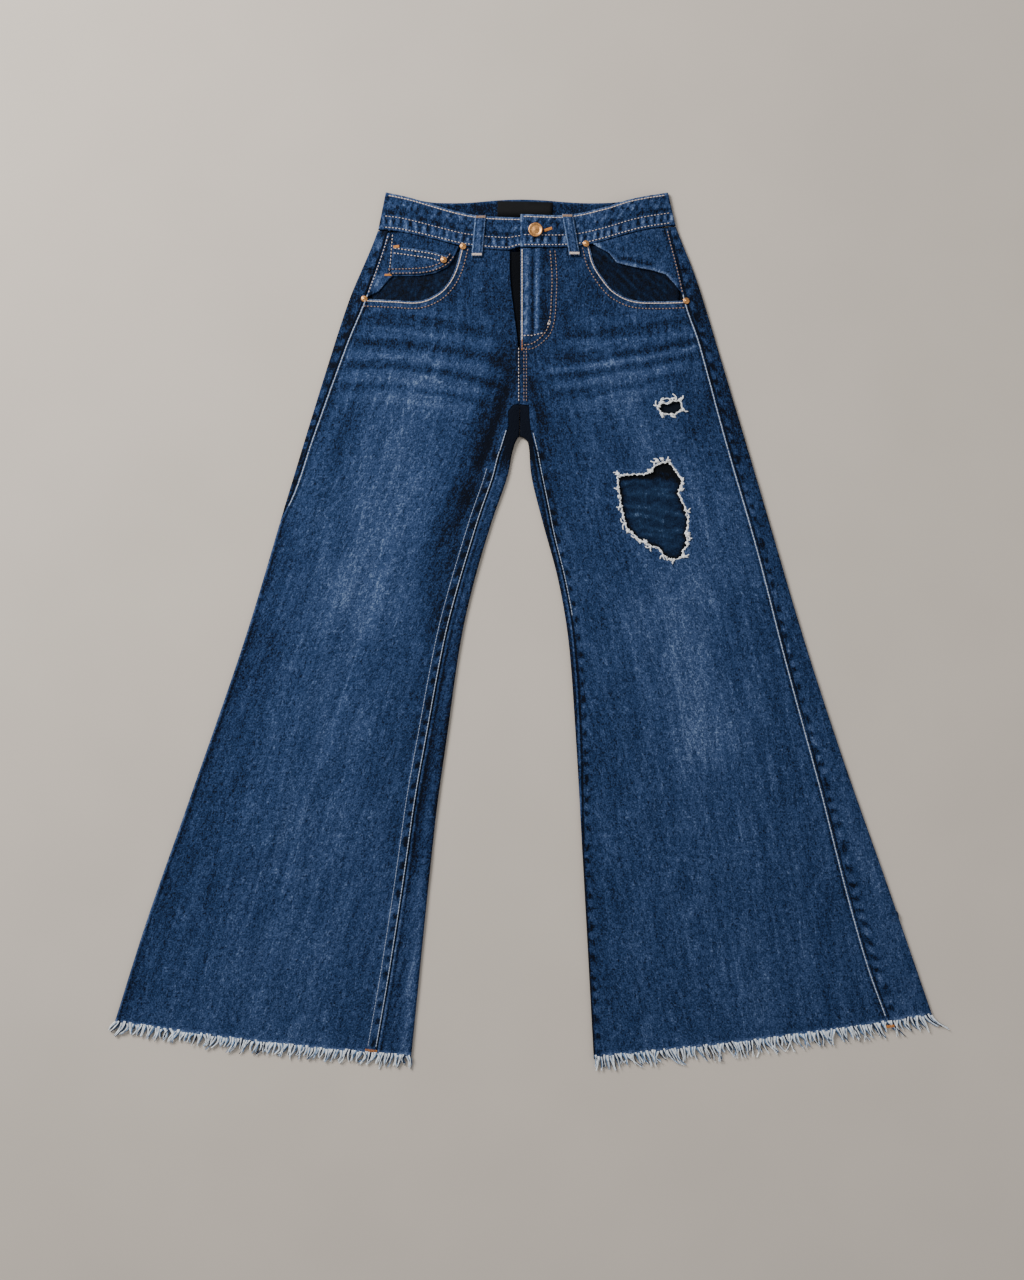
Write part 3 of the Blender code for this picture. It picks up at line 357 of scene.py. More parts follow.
# Wear and painted light as one value, from 0, unwashed indigo, to 1, worn to the white weft; painted shade
# lowers it and painted highlights raise it
wearAndShade = {"plain": 0.34, "hips": 0.26, "edgeLine": 0.45, "frayed": 0.45, "whisker": 0.045, "uneven": 0.030,
        "foldShade": 0.12, "seamRidge": 0.18, "hemLine": 0.30}
wearAndShadeStrokes = [
    (-0.130, 0.265, -0.190, 0.070, 0.085, 0.20, 0), (-0.205, 0.000, -0.300, -0.460, 0.110, 0.08, 0),
    (-0.235, 0.290, -0.265, 0.140, 0.030, 0.09, 0), (0.120, 0.270, 0.215, 0.090, 0.075, 0.15, 0),
    (0.170, 0.020, 0.215, -0.110, 0.080, 0.19, 0), (0.225, -0.180, 0.275, -0.460, 0.110, 0.05, 0),
    (0.235, 0.230, 0.285, 0.080, 0.030, 0.08, 0),
    (-0.180, 0.388, -0.040, 0.368, 0.012, 0.08, 0.004), (-0.190, 0.356, -0.030, 0.338, 0.012, 0.16, 0.005),
    (-0.205, 0.330, -0.030, 0.306, 0.012, 0.19, 0.006), (-0.210, 0.304, -0.040, 0.284, 0.012, 0.16, 0.006),
    (-0.215, 0.278, -0.060, 0.262, 0.013, 0.12, 0.006), (0.060, 0.366, 0.180, 0.386, 0.012, 0.09, -0.004),
    (0.050, 0.342, 0.200, 0.356, 0.012, 0.14, -0.005), (0.030, 0.310, 0.205, 0.338, 0.006, 0.22, -0.003),
    (0.035, 0.294, 0.190, 0.318, 0.012, 0.15, -0.004), (0.040, 0.268, 0.150, 0.288, 0.013, 0.11, -0.004),
    (-0.180, 0.372, -0.040, 0.352, 0.008, -0.09, 0.005), (-0.195, 0.343, -0.030, 0.321, 0.008, -0.11, 0.006),
    (-0.205, 0.317, -0.035, 0.294, 0.008, -0.11, 0.006), (-0.212, 0.291, -0.050, 0.272, 0.008, -0.08, 0.006),
    (0.055, 0.353, 0.190, 0.370, 0.008, -0.09, -0.005), (0.045, 0.325, 0.200, 0.346, 0.008, -0.11, -0.004),
    (0.035, 0.302, 0.200, 0.328, 0.006, -0.10, -0.004), (0.035, 0.281, 0.170, 0.303, 0.008, -0.08, -0.004),
    # Painted shade: darker strokes running down from the crotch on both fronts
    (-0.016, 0.330, -0.060, 0.170, 0.034, -0.22, 0.004), (0.012, 0.290, 0.036, 0.130, 0.022, -0.14, 0.003),
    (-0.070, 0.140, -0.115, -0.260, 0.055, -0.23, 0), (0.070, -0.040, 0.085, -0.450, 0.030, -0.02, 0),
    (0.335, 0.050, 0.460, -0.420, 0.060, 0.17, 0), (-0.300, 0.000, -0.420, -0.400, 0.040, -0.06, 0),
    (-0.090, 0.425, -0.030, 0.385, 0.035, -0.06, 0), (0.100, 0.425, 0.050, 0.385, 0.030, -0.04, 0),
    # Painted light at the crotch: a painted highlight along each front's inner fold edge, with a painted fold
    # shadow beside it
    (-0.0140, 0.275, -0.0290, 0.222, 0.006, 0.16, 0), (-0.0200, 0.286, -0.0530, 0.200, 0.009, -0.22, 0),
    (0.0095, 0.264, 0.0150, 0.226, 0.007, 0.12, 0), (0.0080, 0.300, 0.0240, 0.240, 0.008, -0.16, 0)]


def whiskers(x, y):
    # Fine bands between the broad ones, fanning out from the crotch
    total = np.zeros(np.shape(x))
    for middle, slope in ((-0.125, -0.15), (0.115, 0.17)):
        place = y - slope * (x - middle) + 0.9 * (x - middle) ** 2 + 0.0016 * np.sin(x * 96.0)
        window = bell(x, middle, 0.070) * smooth(0.245, 0.285, y) * smooth(0.395, 0.370, y)
        total += window * np.sin(2 * math.pi * place / 0.0122 + 1.4 * np.sin(place * 90.0))
    return total


def legWearAndShade(x, y):
    value = np.full(np.shape(x), wearAndShade["plain"]) + (wearAndShade["hips"] - wearAndShade["plain"]) * smooth(0.05, 0.34, y)
    value += (strokeField(x, y, wearAndShadeStrokes) + wearAndShade["uneven"] * ripple(x, y * 0.4, 0.022)
              + wearAndShade["whisker"] * whiskers(x, y))
    for side in ("right", "left"):
        mine = smooth(-0.002, 0.002, -inward[side] * (x - cloth["centre"]))
        shade = bell(fromLine("outerFold", side, x, y), 0.0, 0.014) * smooth(0.45, 0.40, y)
        shade += bell(fromLine("innerFold", side, x, y), 0.0, 0.012) * smooth(0.27, 0.20, y)
        value -= mine * wearAndShade["foldShade"] * shade
    ridge = bell(fromLine("inner", "right", x, y), cloth["secondRow"], 0.0018)
    value += wearAndShade["seamRidge"] * ridge * smooth(0.215, 0.190, y)
    ripEdge = np.minimum(polylineAway(x, y, largeRip, True), polylineAway(x, y, smallRip, True))
    value += wearAndShade["frayed"] * np.exp(-((ripEdge / 0.0014) ** 2))
    return value


def seamAway(x, y, z):
    # Distance from the nearest leg seam of the top layer, positive on the side where the dark spots are
    nearest = np.full(np.shape(x), 0.05)
    for (kind, side), (ys, xs) in lines.items():
        away = (x - np.interp(y, ys, xs)) * -inward[side]
        top = {"outer": 0.478, "inner": 0.222}.get(kind, -1.0)
        counts = (abs(away) < abs(nearest)) & (y < top) & (z > cloth["seamsAbove"])
        stretch = 1.0 + 0.9 * smooth(0.0, -0.4, y) * ((kind, side) == ("outer", "left"))
        nearest = np.where(counts, np.where(away > 0.002, 0.002 + (away - 0.002) / stretch, away), nearest)
    return nearest


# Rows of points: x, y, z and how far up the fold from floor layer (0) to top layer (1)
def makeFold(edge, way, low=backHeight, high=frontHeight, wall=cloth["denim"]):
    edge, way = Vector(edge), Vector(way).normalized()
    near = edge + way * 0.003
    bottom, top = float(low(near.x, near.y)), float(high(near.x, near.y))
    radius = (top - bottom) / 2
    return {"edge": edge, "way": way, "radius": radius, "middle": (top + bottom) / 2,
            "reach": wall / 2 + radius, "quarter": math.pi * radius / 2}


def seamLength(fold, distance):
    if distance < fold["reach"]:
        return fold["quarter"] * distance / fold["reach"]
    return fold["quarter"] + distance - fold["reach"]


def foldPoint(fold, along):
    if abs(along) <= fold["quarter"]:
        angle = along / fold["radius"]
        flat = fold["edge"] + fold["way"] * (fold["reach"] - fold["radius"] * math.cos(angle))
        return (flat.x, flat.y, fold["middle"] + fold["radius"] * math.sin(angle), (1 + math.sin(angle)) / 2)
    flat = fold["edge"] + fold["way"] * (fold["reach"] + abs(along) - fold["quarter"])
    return (flat.x, flat.y, math.nan, 1.0 if along > 0 else 0.0)


def flatPoint(x, y, layer=1.0):
    return (x, y, math.nan, layer)


def hipFold(side, y):
    fold = makeFold((curveValue(outerEdge[side], y), y), (inward[side], 0.0))
    return fold, seamLength(fold, curveValue(outSeam[side], y))


def legRows(side, count):
    pairs = []
    for index in range(count + 1):
        share = index / count
        outerY = between(legTop[0], hem[side][0], share)
        innerY = between(legTop[1], hem[side][1], share)
        outer = Vector((curveValue(outerEdge[side], outerY), outerY))
        inner = Vector((curveValue(innerEdge[side], innerY), innerY))
        pairs.append((outer, inner, cloth["hemBow"] * share**6))
    return pairs


def bowed(points, start, end, bow):
    row = end - start
    moved = []
    for x, y, z, layer in points:
        share = min(max((Vector((x, y)) - start).dot(row) / row.length_squared, 0.0), 1.0)
        moved.append((x, y - bow * 4.0 * share * (1.0 - share), z, layer))
    return moved


def across(first, last, count, layer):
    points = []
    for index in range(1, count):
        share = index / count
        points.append(flatPoint(between(first[0], last[0], share), between(first[1], last[1], share), layer))
    return points


def settle(rows, high, low):
    # Puts every flat point on its layer and adds the fine relief to what is on top
    points = np.array(rows)
    x, y, z, layer = (points[..., i] for i in range(4))
    missing = np.isnan(z)
    z[missing] = np.where(layer > 0.5, high(x, y), low(x, y))[missing]
    points[..., 2] = z + layer * fineRelief(x, y)
    return points


def fillRows(points, spacing):
    # Adds rows in the straight between rows that lie further apart than the spacing
    filled = [points[0]]
    for first, second in zip(points, points[1:]):
        far = np.linalg.norm((second - first)[:, :3], axis=1).max()
        steps = max(1, math.ceil(far / spacing))
        filled += [between(first, second, step / steps) for step in range(1, steps + 1)]
    return np.array(filled)


def topEnd(fold, length):
    start = length + (cloth["halfSeam"] if length > fold["quarter"] else 1.5 * cloth["halfSeam"])
    run, steps = fold["quarter"] + cloth["topRun"], cloth["endSteps"]
    return [foldPoint(fold, start + run * index / steps) for index in range(steps + 1)]


def plainEnd(point, toward):
    start, way = Vector(point), (Vector(toward) - Vector(point)).normalized()
    return [flatPoint(*(start + way * cloth["edgeStep"] * index)) for index in range(cloth["endSteps"] + 1)]


# Node helpers
def addNode(tree, kind, inputs=None, **settings):
    node = tree.nodes.new(kind)
    for key, value in settings.items():
        setattr(node, key, value)
    for key, value in (inputs or {}).items():
        if isinstance(value, bpy.types.NodeSocket):
            tree.links.new(value, node.inputs[key])
        else:
            node.inputs[key].default_value = value
    return node


def newMaterial(name, roughness, metallic=0.0):
    made = bpy.data.materials.new(name)
    made.use_nodes = True
    shader = made.node_tree.nodes["Principled BSDF"]
    shader.inputs["Roughness"].default_value = roughness
    shader.inputs["Metallic"].default_value = metallic
    shader.inputs["Specular IOR Level"].default_value = 0.5 if metallic else 0.15
    return made, made.node_tree, shader


def colourAndBump(tree, shader, factor, stops, height, strength, distance):
    ramp = addNode(tree, "ShaderNodeValToRGB", {"Fac": factor})
    elements = ramp.color_ramp.elements
    while len(elements) < len(stops):
        elements.new(0.5)
    for element, (place, colour) in zip(elements, stops):
        element.position = place
        element.color = (*colour, 1.0)
    tree.links.new(ramp.outputs["Color"], shader.inputs["Base Color"])
    bump = addNode(tree, "ShaderNodeBump", {"Height": height, "Strength": strength, "Distance": distance})
    tree.links.new(bump.outputs["Normal"], shader.inputs["Normal"])


def maths(tree, operation, first, second):
    return addNode(tree, "ShaderNodeMath", {0: first, 1: second}, operation=operation).outputs[0]


denimLook = {"stops": [(0.0, (0.0006, 0.0020, 0.0070)), (0.10, (0.0026, 0.0085, 0.0290)),
                       (0.30, (0.0070, 0.0228, 0.0700)), (0.60, (0.0330, 0.0590, 0.1350)),
                       (1.0, (0.15, 0.21, 0.33))],
             "noises": [((310.0, 200.0), 2.0, 1.0, 0.92), ((640.0, 500.0), 1.0, 0.0, 0.95),
                        ((120.0, 11.0), 2.0, 0.4, 0.40), ((30.0, 14.0), 3.0, 0.0, 0.20)],
             "creases": {"scale": (46.0, 13.0), "width": 0.026, "amount": 0.11},
             "bump": 0.9, "roughness": 0.92,
             # Lines beside the seams: a pale worn line, and two dark lines of painted shadow
             "seamWearAndShadowLines": [(-0.0016, 0.0010, 0.30), (-0.0046, 0.0014, -0.20), (0.0012, 0.0010, -0.45)],
             "seamSpots": {"length": 0.0190, "wander": (30.0, 26.0), "sway": 9.0, "middle": 0.0058,
                           "width": 0.0027, "depth": 0.34}}
# A darker copy of the denim: painted shade for the pocket bags, fly shield and rip patch, which lie in shadow
shadedDenimLook = {**denimLook, "noises": [((310.0, 200.0), 2.0, 1.0, 0.5), ((640.0, 500.0), 1.0, 0.0, 0.6)],
            "stops": [(0.0, (0.0003, 0.0008, 0.0024)), (0.30, (0.0014, 0.0070, 0.0240)),
                      (0.70, (0.009, 0.026, 0.066)), (1.0, (0.10, 0.15, 0.24))]}


def bellNode(tree, value, middle, width):
    share = maths(tree, "DIVIDE", maths(tree, "SUBTRACT", value, middle), width)
    return maths(tree, "EXPONENT", maths(tree, "MULTIPLY", maths(tree, "MULTIPLY", share, share), -1.0), 0.0)


def denimMaterial(name, look):
    # Wear and painted light from the cloth, weave from noise along the grain, and lines and spots beside the
    # seams: a pale worn line and two lines of painted shadow
    made, tree, shader = newMaterial(name, look["roughness"])
    uv = addNode(tree, "ShaderNodeUVMap", uv_map="grain").outputs["UV"]
    total = addNode(tree, "ShaderNodeAttribute", attribute_name="wearAndShade").outputs["Fac"]
    seam = addNode(tree, "ShaderNodeAttribute", attribute_name="seam").outputs["Fac"]

    def noise(scale, detail, distortion=0.0):
        place = addNode(tree, "ShaderNodeMapping", {"Vector": uv, "Scale": (*scale, 1.0)})
        cells = addNode(tree, "ShaderNodeTexNoise", {"Vector": place.outputs["Vector"], "Scale": 1.0,
                                                     "Detail": detail, "Distortion": distortion})
        return maths(tree, "SUBTRACT", cells.outputs["Fac"], 0.5)

    parts = [(noise(scale, detail, distortion), amount)
             for scale, detail, distortion, amount in look["noises"]]
    for middle, width, amount in look["seamWearAndShadowLines"]:
        parts.append((bellNode(tree, seam, middle, width), amount))
    creases = look["creases"]
    creased = bellNode(tree, noise(creases["scale"], 1.0, 0.9), 0.0, creases["width"])
    parts.append((creased, creases["amount"]))
    spots = look["seamSpots"]
    along = addNode(tree, "ShaderNodeSeparateXYZ", {"Vector": uv}).outputs["Y"]
    turns = maths(tree, "MULTIPLY", along, math.tau / spots["length"])
    sway = maths(tree, "MULTIPLY", noise(spots["wander"], 0.0), spots["sway"])
    turned = maths(tree, "SINE", maths(tree, "ADD", turns, sway), 0.0)
    wave = addNode(tree, "ShaderNodeClamp", {"Value": turned, "Min": -1.0, "Max": 0.45}).outputs["Result"]
    beside = bellNode(tree, seam, spots["middle"], spots["width"])
    parts.append((maths(tree, "MULTIPLY", wave, beside), spots["depth"]))
    for part, amount in parts:
        total = maths(tree, "ADD", total, maths(tree, "MULTIPLY", part, amount))
    weave = maths(tree, "ADD", parts[0][0], parts[1][0])
    colourAndBump(tree, shader, total, look["stops"], weave, look["bump"], 0.0009)
    return made


def plainMaterial(name, colour, roughness, metallic=0.0, vary=0.25, scale=900.0):
    made, tree, shader = newMaterial(name, roughness, metallic)
    place = addNode(tree, "ShaderNodeTexCoord").outputs["Object"]
    cells = addNode(tree, "ShaderNodeTexNoise", {"Vector": place, "Scale": scale, "Detail": 2.0})
    speck = cells.outputs["Fac"]
    dark = tuple(channel * (1.0 - vary) for channel in colour)
    light = tuple(min(channel * (1.0 + vary), 1.0) for channel in colour)
    colourAndBump(tree, shader, speck, [(0.35, dark), (0.65, light)], speck, 0.3, 0.0002)
    return made


looks = {
    "denim": denimMaterial("wornDenim", denimLook),
    "dark": denimMaterial("shadedDenim", shadedDenimLook),
    # Near-black inside face of the back panels: painted shade where it shows
    "inside": plainMaterial("insideShadeDenim", (0.003, 0.005, 0.010), 0.95),
    "black": plainMaterial("blackTape", (0.0045, 0.0045, 0.0048), 0.75),
    "copper": plainMaterial("wornCopper", (0.62, 0.30, 0.11), 0.38, 1.0, 0.35, 700.0),
    "cream": plainMaterial("creamThread", (0.64, 0.53, 0.45), 0.8),
    "white": plainMaterial("whiteThread", (0.94, 0.91, 0.86), 0.85, 0.0, 0.30, 330.0),
    "navy": plainMaterial("navyThread", (0.010, 0.020, 0.050), 0.9),
    "worn": plainMaterial("wornThread", (0.34, 0.39, 0.48), 0.85),
    "orange": plainMaterial("orangeThread", (0.50, 0.20, 0.05), 0.8),
    "brown": plainMaterial("brownThread", (0.30, 0.20, 0.14), 0.8),
    "pale": plainMaterial("paleThread", (0.80, 0.84, 0.90), 0.9, 0.0, 0.20, 260.0),
    "blue": plainMaterial("blueThread", (0.16, 0.25, 0.40), 0.9, 0.0, 0.5, 260.0)}
print("stage: materials made")


def placePiece(name, mesh, lookNames, nodes=()):
    for lookName in lookNames:
        mesh.materials.append(looks[lookName])
    piece = bpy.data.objects.new(name, mesh)
    bpy.context.scene.collection.objects.link(piece)
    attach(piece, "root")
    if nodes:
        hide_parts(*nodes)
    return piece


# Cloth pieces
def grainOf(x, y):
    # Flat coordinates of the cut cloth: the warp runs down the middle of each leg
    lean = np.interp(y, [-0.5, -0.1, 0.22, 0.34, 0.52], [0.205, 0.120, 0.030, 0.004, 0.0])
    return np.where(x < cloth["centre"], x + lean * 1.25, x - lean * 0.85), y


def finishCloth(name, bm, wall, look, nodes, inner=None):
    bmesh.ops.recalc_face_normals(bm, faces=bm.faces[:])
    if min(bm.faces, key=lambda face: face.calc_center_median().z).normal.z > 0:
        bmesh.ops.reverse_faces(bm, faces=bm.faces[:])
    spots = np.array([vert.co for vert in bm.verts])
    seamLayer = bm.verts.layers.float.new("seam")
    for vert, away in zip(bm.verts, seamAway(*spots.T)):
        vert[seamLayer] = away
    mesh = bpy.data.meshes.new(name)
    grainLayer = bm.loops.layers.uv.new("grain")
    for face in bm.faces:
        face.smooth = True
        for loop in face.loops:
            u, v = grainOf(loop.vert.co.x, loop.vert.co.y)
            loop[grainLayer].uv = (float(u), float(v))
    bm.to_mesh(mesh)
    bm.free()
    piece = placePiece(name, mesh, [look, inner] if inner else [look], nodes)
    solidify = piece.modifiers.new("cloth", "SOLIDIFY")
    solidify.thickness = wall
    solidify.offset = 0.0
    solidify.material_offset = 1 if inner else 0
    area = sum(polygon.area for polygon in mesh.polygons)
    print(f"  {name}: {len(mesh.polygons)} faces, {area:.4f} m2")


def gridCloth(name, points, wearAndShadeValues, wall, nodes, look="denim", holes=(), inner=None):
    down, wide = points.shape[:2]
    bm = bmesh.new()
    bmesh.ops.create_grid(bm, x_segments=wide - 1, y_segments=down - 1, size=0.5)
    bm.verts.ensure_lookup_table()
    wearAndShadeLayer = bm.verts.layers.float.new("wearAndShade")
    for vert, spot, value in zip(bm.verts, points.reshape(-1, 4), np.ravel(wearAndShadeValues)):
        vert.co = spot[:3]
        vert[wearAndShadeLayer] = value
    for outline in holes:
        cutHole(bm, outline)
    finishCloth(name, bm, wall, look, nodes, inner)


def nearestOn(outline, point):
    best = None
    for a, b in zip(outline, outline[1:] + outline[:1]):
        a, b = Vector(a), Vector(b)
        share = min(max((point - a).dot(b - a) / (b - a).length_squared, 0.0), 1.0)
        spot = a.lerp(b, share)
        if best is None or (spot - point).length < (best - point).length:
            best = spot
    return best


def cutHole(bm, outline):
    centres = np.array([face.calc_center_median()[:2] for face in bm.faces])
    inside = polygonInside(centres[:, 0], centres[:, 1], outline)
    top = [face.calc_center_median().z > cloth["holesAbove"] for face in bm.faces]
    gone = [face for face, into, up in zip(bm.faces, inside, top) if into and up]
    rim = {vert for face in gone for vert in face.verts}
    bmesh.ops.delete(bm, geom=gone, context="FACES")
    for vert in rim:
        if vert.is_valid and vert.link_faces:
            spot = nearestOn(outline, vert.co.xy)
            vert.co.x, vert.co.y = spot.x, spot.y


def laidCloth(name, outline, high, lift, wall, nodes, wearAndShadeAt, look="denim", spacing=0.0022,
              extra=None):
    bm = bmesh.new()
    bm.faces.new([bm.verts.new((x, y, 0.0)) for x, y in outline])
    for axis in (0, 1):
        values = [point[axis] for point in outline]
        line = math.ceil(min(values) / spacing) * spacing
        while line < max(values):
            place, normal = [0.0, 0.0, 0.0], [0.0, 0.0, 0.0]
            place[axis], normal[axis] = line, 1.0
            bmesh.ops.bisect_plane(bm, geom=bm.verts[:] + bm.edges[:] + bm.faces[:], dist=0.0002,
                                   plane_co=place, plane_no=normal)
            line += spacing
    spots = np.array([vert.co[:2] for vert in bm.verts])
    x, y = spots[:, 0], spots[:, 1]
    heights = high(x, y) + fineRelief(x, y) + lift + (extra(x, y) if extra else 0.0)
    wearAndShadeLayer = bm.verts.layers.float.new("wearAndShade")
    for vert, height, value in zip(bm.verts, heights, wearAndShadeAt(x, y)):
        vert.co.z = height
        vert[wearAndShadeLayer] = value
    finishCloth(name, bm, wall, look, nodes)


# Front leg panels
panels = {"legRows": 200, "acrossFront": 92, "hipSteps": 8, "spacing": 0.0042, "topBow": 0.0020,
          "flyRoll": 0.44}
# Light and dark bands beside the fly's edge: amount, place and width
flyBands = [(0.34, 0.0155, 0.0026), (-0.26, 0.0105, 0.0018), (-0.20, 0.0260, 0.0050)]


def frontPanel(side, high, holes):
    mouthX, mouthY = ([point[0][i] for point in scoop[side]] for i in (0, 1))
    flyY = [point[1] for point in scoop[side]]
    flyX = {"right": slitEdge, "left": [cloth["flyEdge"]] * 6}[side] + [centreEdge[side]]
    rows = []
    steps = 6 * panels["hipSteps"]
    for index in range(steps + 1):
        share = index / steps
        mouth = (alongList(mouthX, share), alongList(mouthY, share))
        inner = (alongList(flyX, share), alongList(flyY, share))
        start, end = plainEnd(mouth, inner), plainEnd(inner, mouth)[::-1]
        rows.append(start + across(start[-1], end[0], panels["acrossFront"], 1.0) + end)
    if side == "left":
        rows[0] = bowed(rows[0], Vector(rows[0][0][:2]), Vector(rows[0][-1][:2]), panels["topBow"])
    crotch = crotchSeam[side]
    hip = [(0.395, (centreEdge[side], 0.324)), (0.360, (centreEdge[side], 0.310)),
           (0.325, (centreEdge[side], 0.297)), (0.290, (centreEdge[side], 0.284)),
           (0.262, crotch[0]), (0.251, crotch[1]), (0.240, crotch[2]), (0.227, crotch[3])]
    for (firstY, firstInner), (secondY, secondInner) in zip(hip, hip[1:]):
        for step in range(1, panels["hipSteps"] + 1):
            share = step / panels["hipSteps"]
            outerY = between(firstY, secondY, share)
            inner = tuple(between(a, b, share) for a, b in zip(firstInner, secondInner))
            fold, length = hipFold(side, outerY)
            start, end = topEnd(fold, length), plainEnd(inner, fold["edge"])[::-1]
            rows.append(start + across(start[-1], end[0], panels["acrossFront"], 1.0) + end)
    for outer, inner, bow in legRows(side, panels["legRows"]):
        outerSide, innerSide = makeFold(outer, inner - outer), makeFold(inner, outer - inner)
        start = topEnd(outerSide, seamLength(outerSide, curveValue(outSeam[side], outer.y)))
        end = topEnd(innerSide, seamLength(innerSide, curveValue(inSeam[side], inner.y)))[::-1]
        row = start + across(start[-1], end[0], panels["acrossFront"], 1.0) + end
        rows.append(bowed(row, outer, inner, bow))
    points = fillRows(settle(rows, high, backHeight), panels["spacing"])
    x, y = points[..., 0], points[..., 1]
    value = legWearAndShade(x, y)
    mouthPath = [point[0] for point in scoop[side]]
    value += wearAndShade["edgeLine"] * bell(polylineAway(x, y, mouthPath), 0.0, 0.0016)
    if side == "left":
        upper = smooth(0.345, 0.360, y)
        value += panels["flyRoll"] * bell(x, 0.0040, 0.0036) * upper * (0.75 + 0.4 * ripple(x, y, 0.006))
        for amount, middle, width in flyBands:
            value += amount * bell(x, middle, width) * upper
        value += wearAndShade["edgeLine"] * bell(x, cloth["flyEdge"], 0.0014) * smooth(0.335, 0.345, y)
    value[-2:] += wearAndShade["hemLine"]
    gridCloth(f"frontCloth{side.title()}", points, value, cloth["denim"], [f"front_{side}"], holes=holes)


frontPanel("right", frontHeight, ())
frontPanel("left", leftFrontHeight, (largeRip, smallRip))
print("stage: front panels made")

# Back leg panels and yokes: they lie on the floor and wrap over the folded edges to the seams on top
backs = {"legRows": 170, "wrap": 9, "run": 16, "acrossBack": 26, "spacing": 0.0060, "darker": 0.05,
         "crotch": 0.55, "strip": 0.30}


def wrapRun(fold, end, count):
    # From the floor layer, round the turn, to a length along the top
    top = min(fold["quarter"], end)
    turn = [between(-fold["quarter"], top, i / backs["wrap"]) for i in range(backs["wrap"])]
    lengths = turn + [between(top, end, i / count) for i in range(count + 1)]
    return [foldPoint(fold, length) for length in lengths]


def backRow(fold, length, tail):
    outer = wrapRun(fold, length - cloth["halfSeam"], backs["run"])[::-1]
    return outer + across(outer[-1], tail[0], backs["acrossBack"], 0.0) + tail


def flatTail(side, y, outer, count):
    end = Vector((centreEdge[side], y))
    way = (Vector(outer) - end).normalized()
    return [flatPoint(*(end + way * cloth["edgeStep"] * (count - 1 - index)), 0.0) for index in range(count)]


tailCount = backs["wrap"] + backs["run"] + 1


def crotchTail(edge, way, seamPoint):
    fold = makeFold(edge, way)
    arc = [foldPoint(fold, between(-fold["quarter"], fold["quarter"], index / backs["wrap"]))
           for index in range(backs["wrap"] + 1)]
    run = [flatPoint(*(between(arc[-1][axis], seamPoint[axis], i / backs["run"]) for axis in (0, 1)))
           for i in range(1, backs["run"] + 1)]
    return arc + run


def rowsAbove(side, pairs, steps):
    rows = []
    for index in range(steps + 1):
        share = index / steps
        outerY = alongList([pair[0] for pair in pairs], share)
        centreY = alongList([pair[1] for pair in pairs], share)
        fold, length = hipFold(side, outerY)
        rows.append(backRow(fold, length, flatTail(side, centreY, fold["edge"], tailCount)))
    return rows


def backPanel(side):
    rows = rowsAbove(side, [(0.4297, 0.4047), (0.395, 0.372), (0.360, 0.343), (0.325, 0.315),
                            (0.290, 0.287), (0.264, 0.262), (0.256, 0.243)], 42)
    way, half = -inward[side], cloth["halfSeam"]
    front = crotchSeam[side]
    seam = [(front[0][0], front[0][1] - 3 * half), (front[1][0] - way * half, front[1][1] - 4 * half),
            (front[2][0] - way * 2 * half, front[2][1]), (front[3][0] - way * 2 * half, front[3][1])]
    ends = [None, (centreEdge[side] + way * 2 * half, 0.252), *seam]
    for (edge, turn), outerY, end in zip(crotchTurns[side], (0.250, 0.245, 0.240, 0.234, 0.228, 0.220), ends):
        fold = makeFold(edge, turn)
        tail = wrapRun(fold, 0.0, backs["run"]) if end is None else crotchTail(edge, turn, end)
        outerFold, length = hipFold(side, outerY)
        rows.append(backRow(outerFold, length, tail))
    for outer, inner, bow in legRows(side, backs["legRows"]):
        outerSide, innerSide = makeFold(outer, inner - outer), makeFold(inner, outer - inner)
        seamAt = seamLength(innerSide, curveValue(inSeam[side], inner.y))
        tail = wrapRun(innerSide, seamAt - half, backs["run"])
        length = seamLength(outerSide, curveValue(outSeam[side], outer.y))
        rows.append(bowed(backRow(outerSide, length, tail), outer, inner, bow))
    points = fillRows(settle(rows, frontHeight, backHeight), backs["spacing"])
    x, y = points[..., 0], points[..., 1]
    onTop = points[..., 3] > 0.5
    value = legWearAndShade(x, y) - backs["darker"]
    # Painted shade: the back cloth showing between the fronts at the crotch is darkened towards black
    value -= backs["crotch"] * onTop * smooth(0.180, 0.235, y) * bell(x, cloth["centre"], 0.026)
    if side == "right":
        nearFold = bell(fromLine("innerFold", side, x, y), 0.0085, 0.0065)
        value += backs["strip"] * onTop * smooth(0.205, 0.180, y) * nearFold
    value[-2:] += wearAndShade["hemLine"]
    gridCloth(f"backCloth{side.title()}", points, value, cloth["denim"], [f"back_{side}"], inner="inside")


def yokePanel(side):
    top = {"right": 0.4755, "left": 0.4803}[side]
    rows = rowsAbove(side, [(top, 0.4650), (0.460, 0.446), (0.445, 0.426), (0.4300, 0.4050)], 16)
    rows[0] = [(x, min(edgeHeight(bandLow["back"], x) - 2 * cloth["halfSeam"], top), z, layer)
               for x, y, z, layer in rows[0]]
    points = settle(rows, frontHeight, backHeight)
    value = legWearAndShade(points[..., 0], points[..., 1])
    gridCloth(f"yokeCloth{side.title()}", points, value, cloth["denim"], [f"yoke_{side}"])


for side in ("right", "left"):
    backPanel(side)
for side in ("right", "left"):
    yokePanel(side)
print("stage: back panels made")

# Waistband
waist = {"acrossFront": 110, "acrossBack": 150, "down": 30, "topLine": 0.34, "chain": 0.46,
         "middleLine": 0.20, "mottle": 0.30, "plain": 0.31, "leftLighter": 0.05, "lowLine": 0.22,
         "lapEdge": 0.5, "chainPitch": 0.0092, "reliefPitch": 0.0098, "relief": 0.0003, "inside": 0.10,
         "insideTop": 0.35}


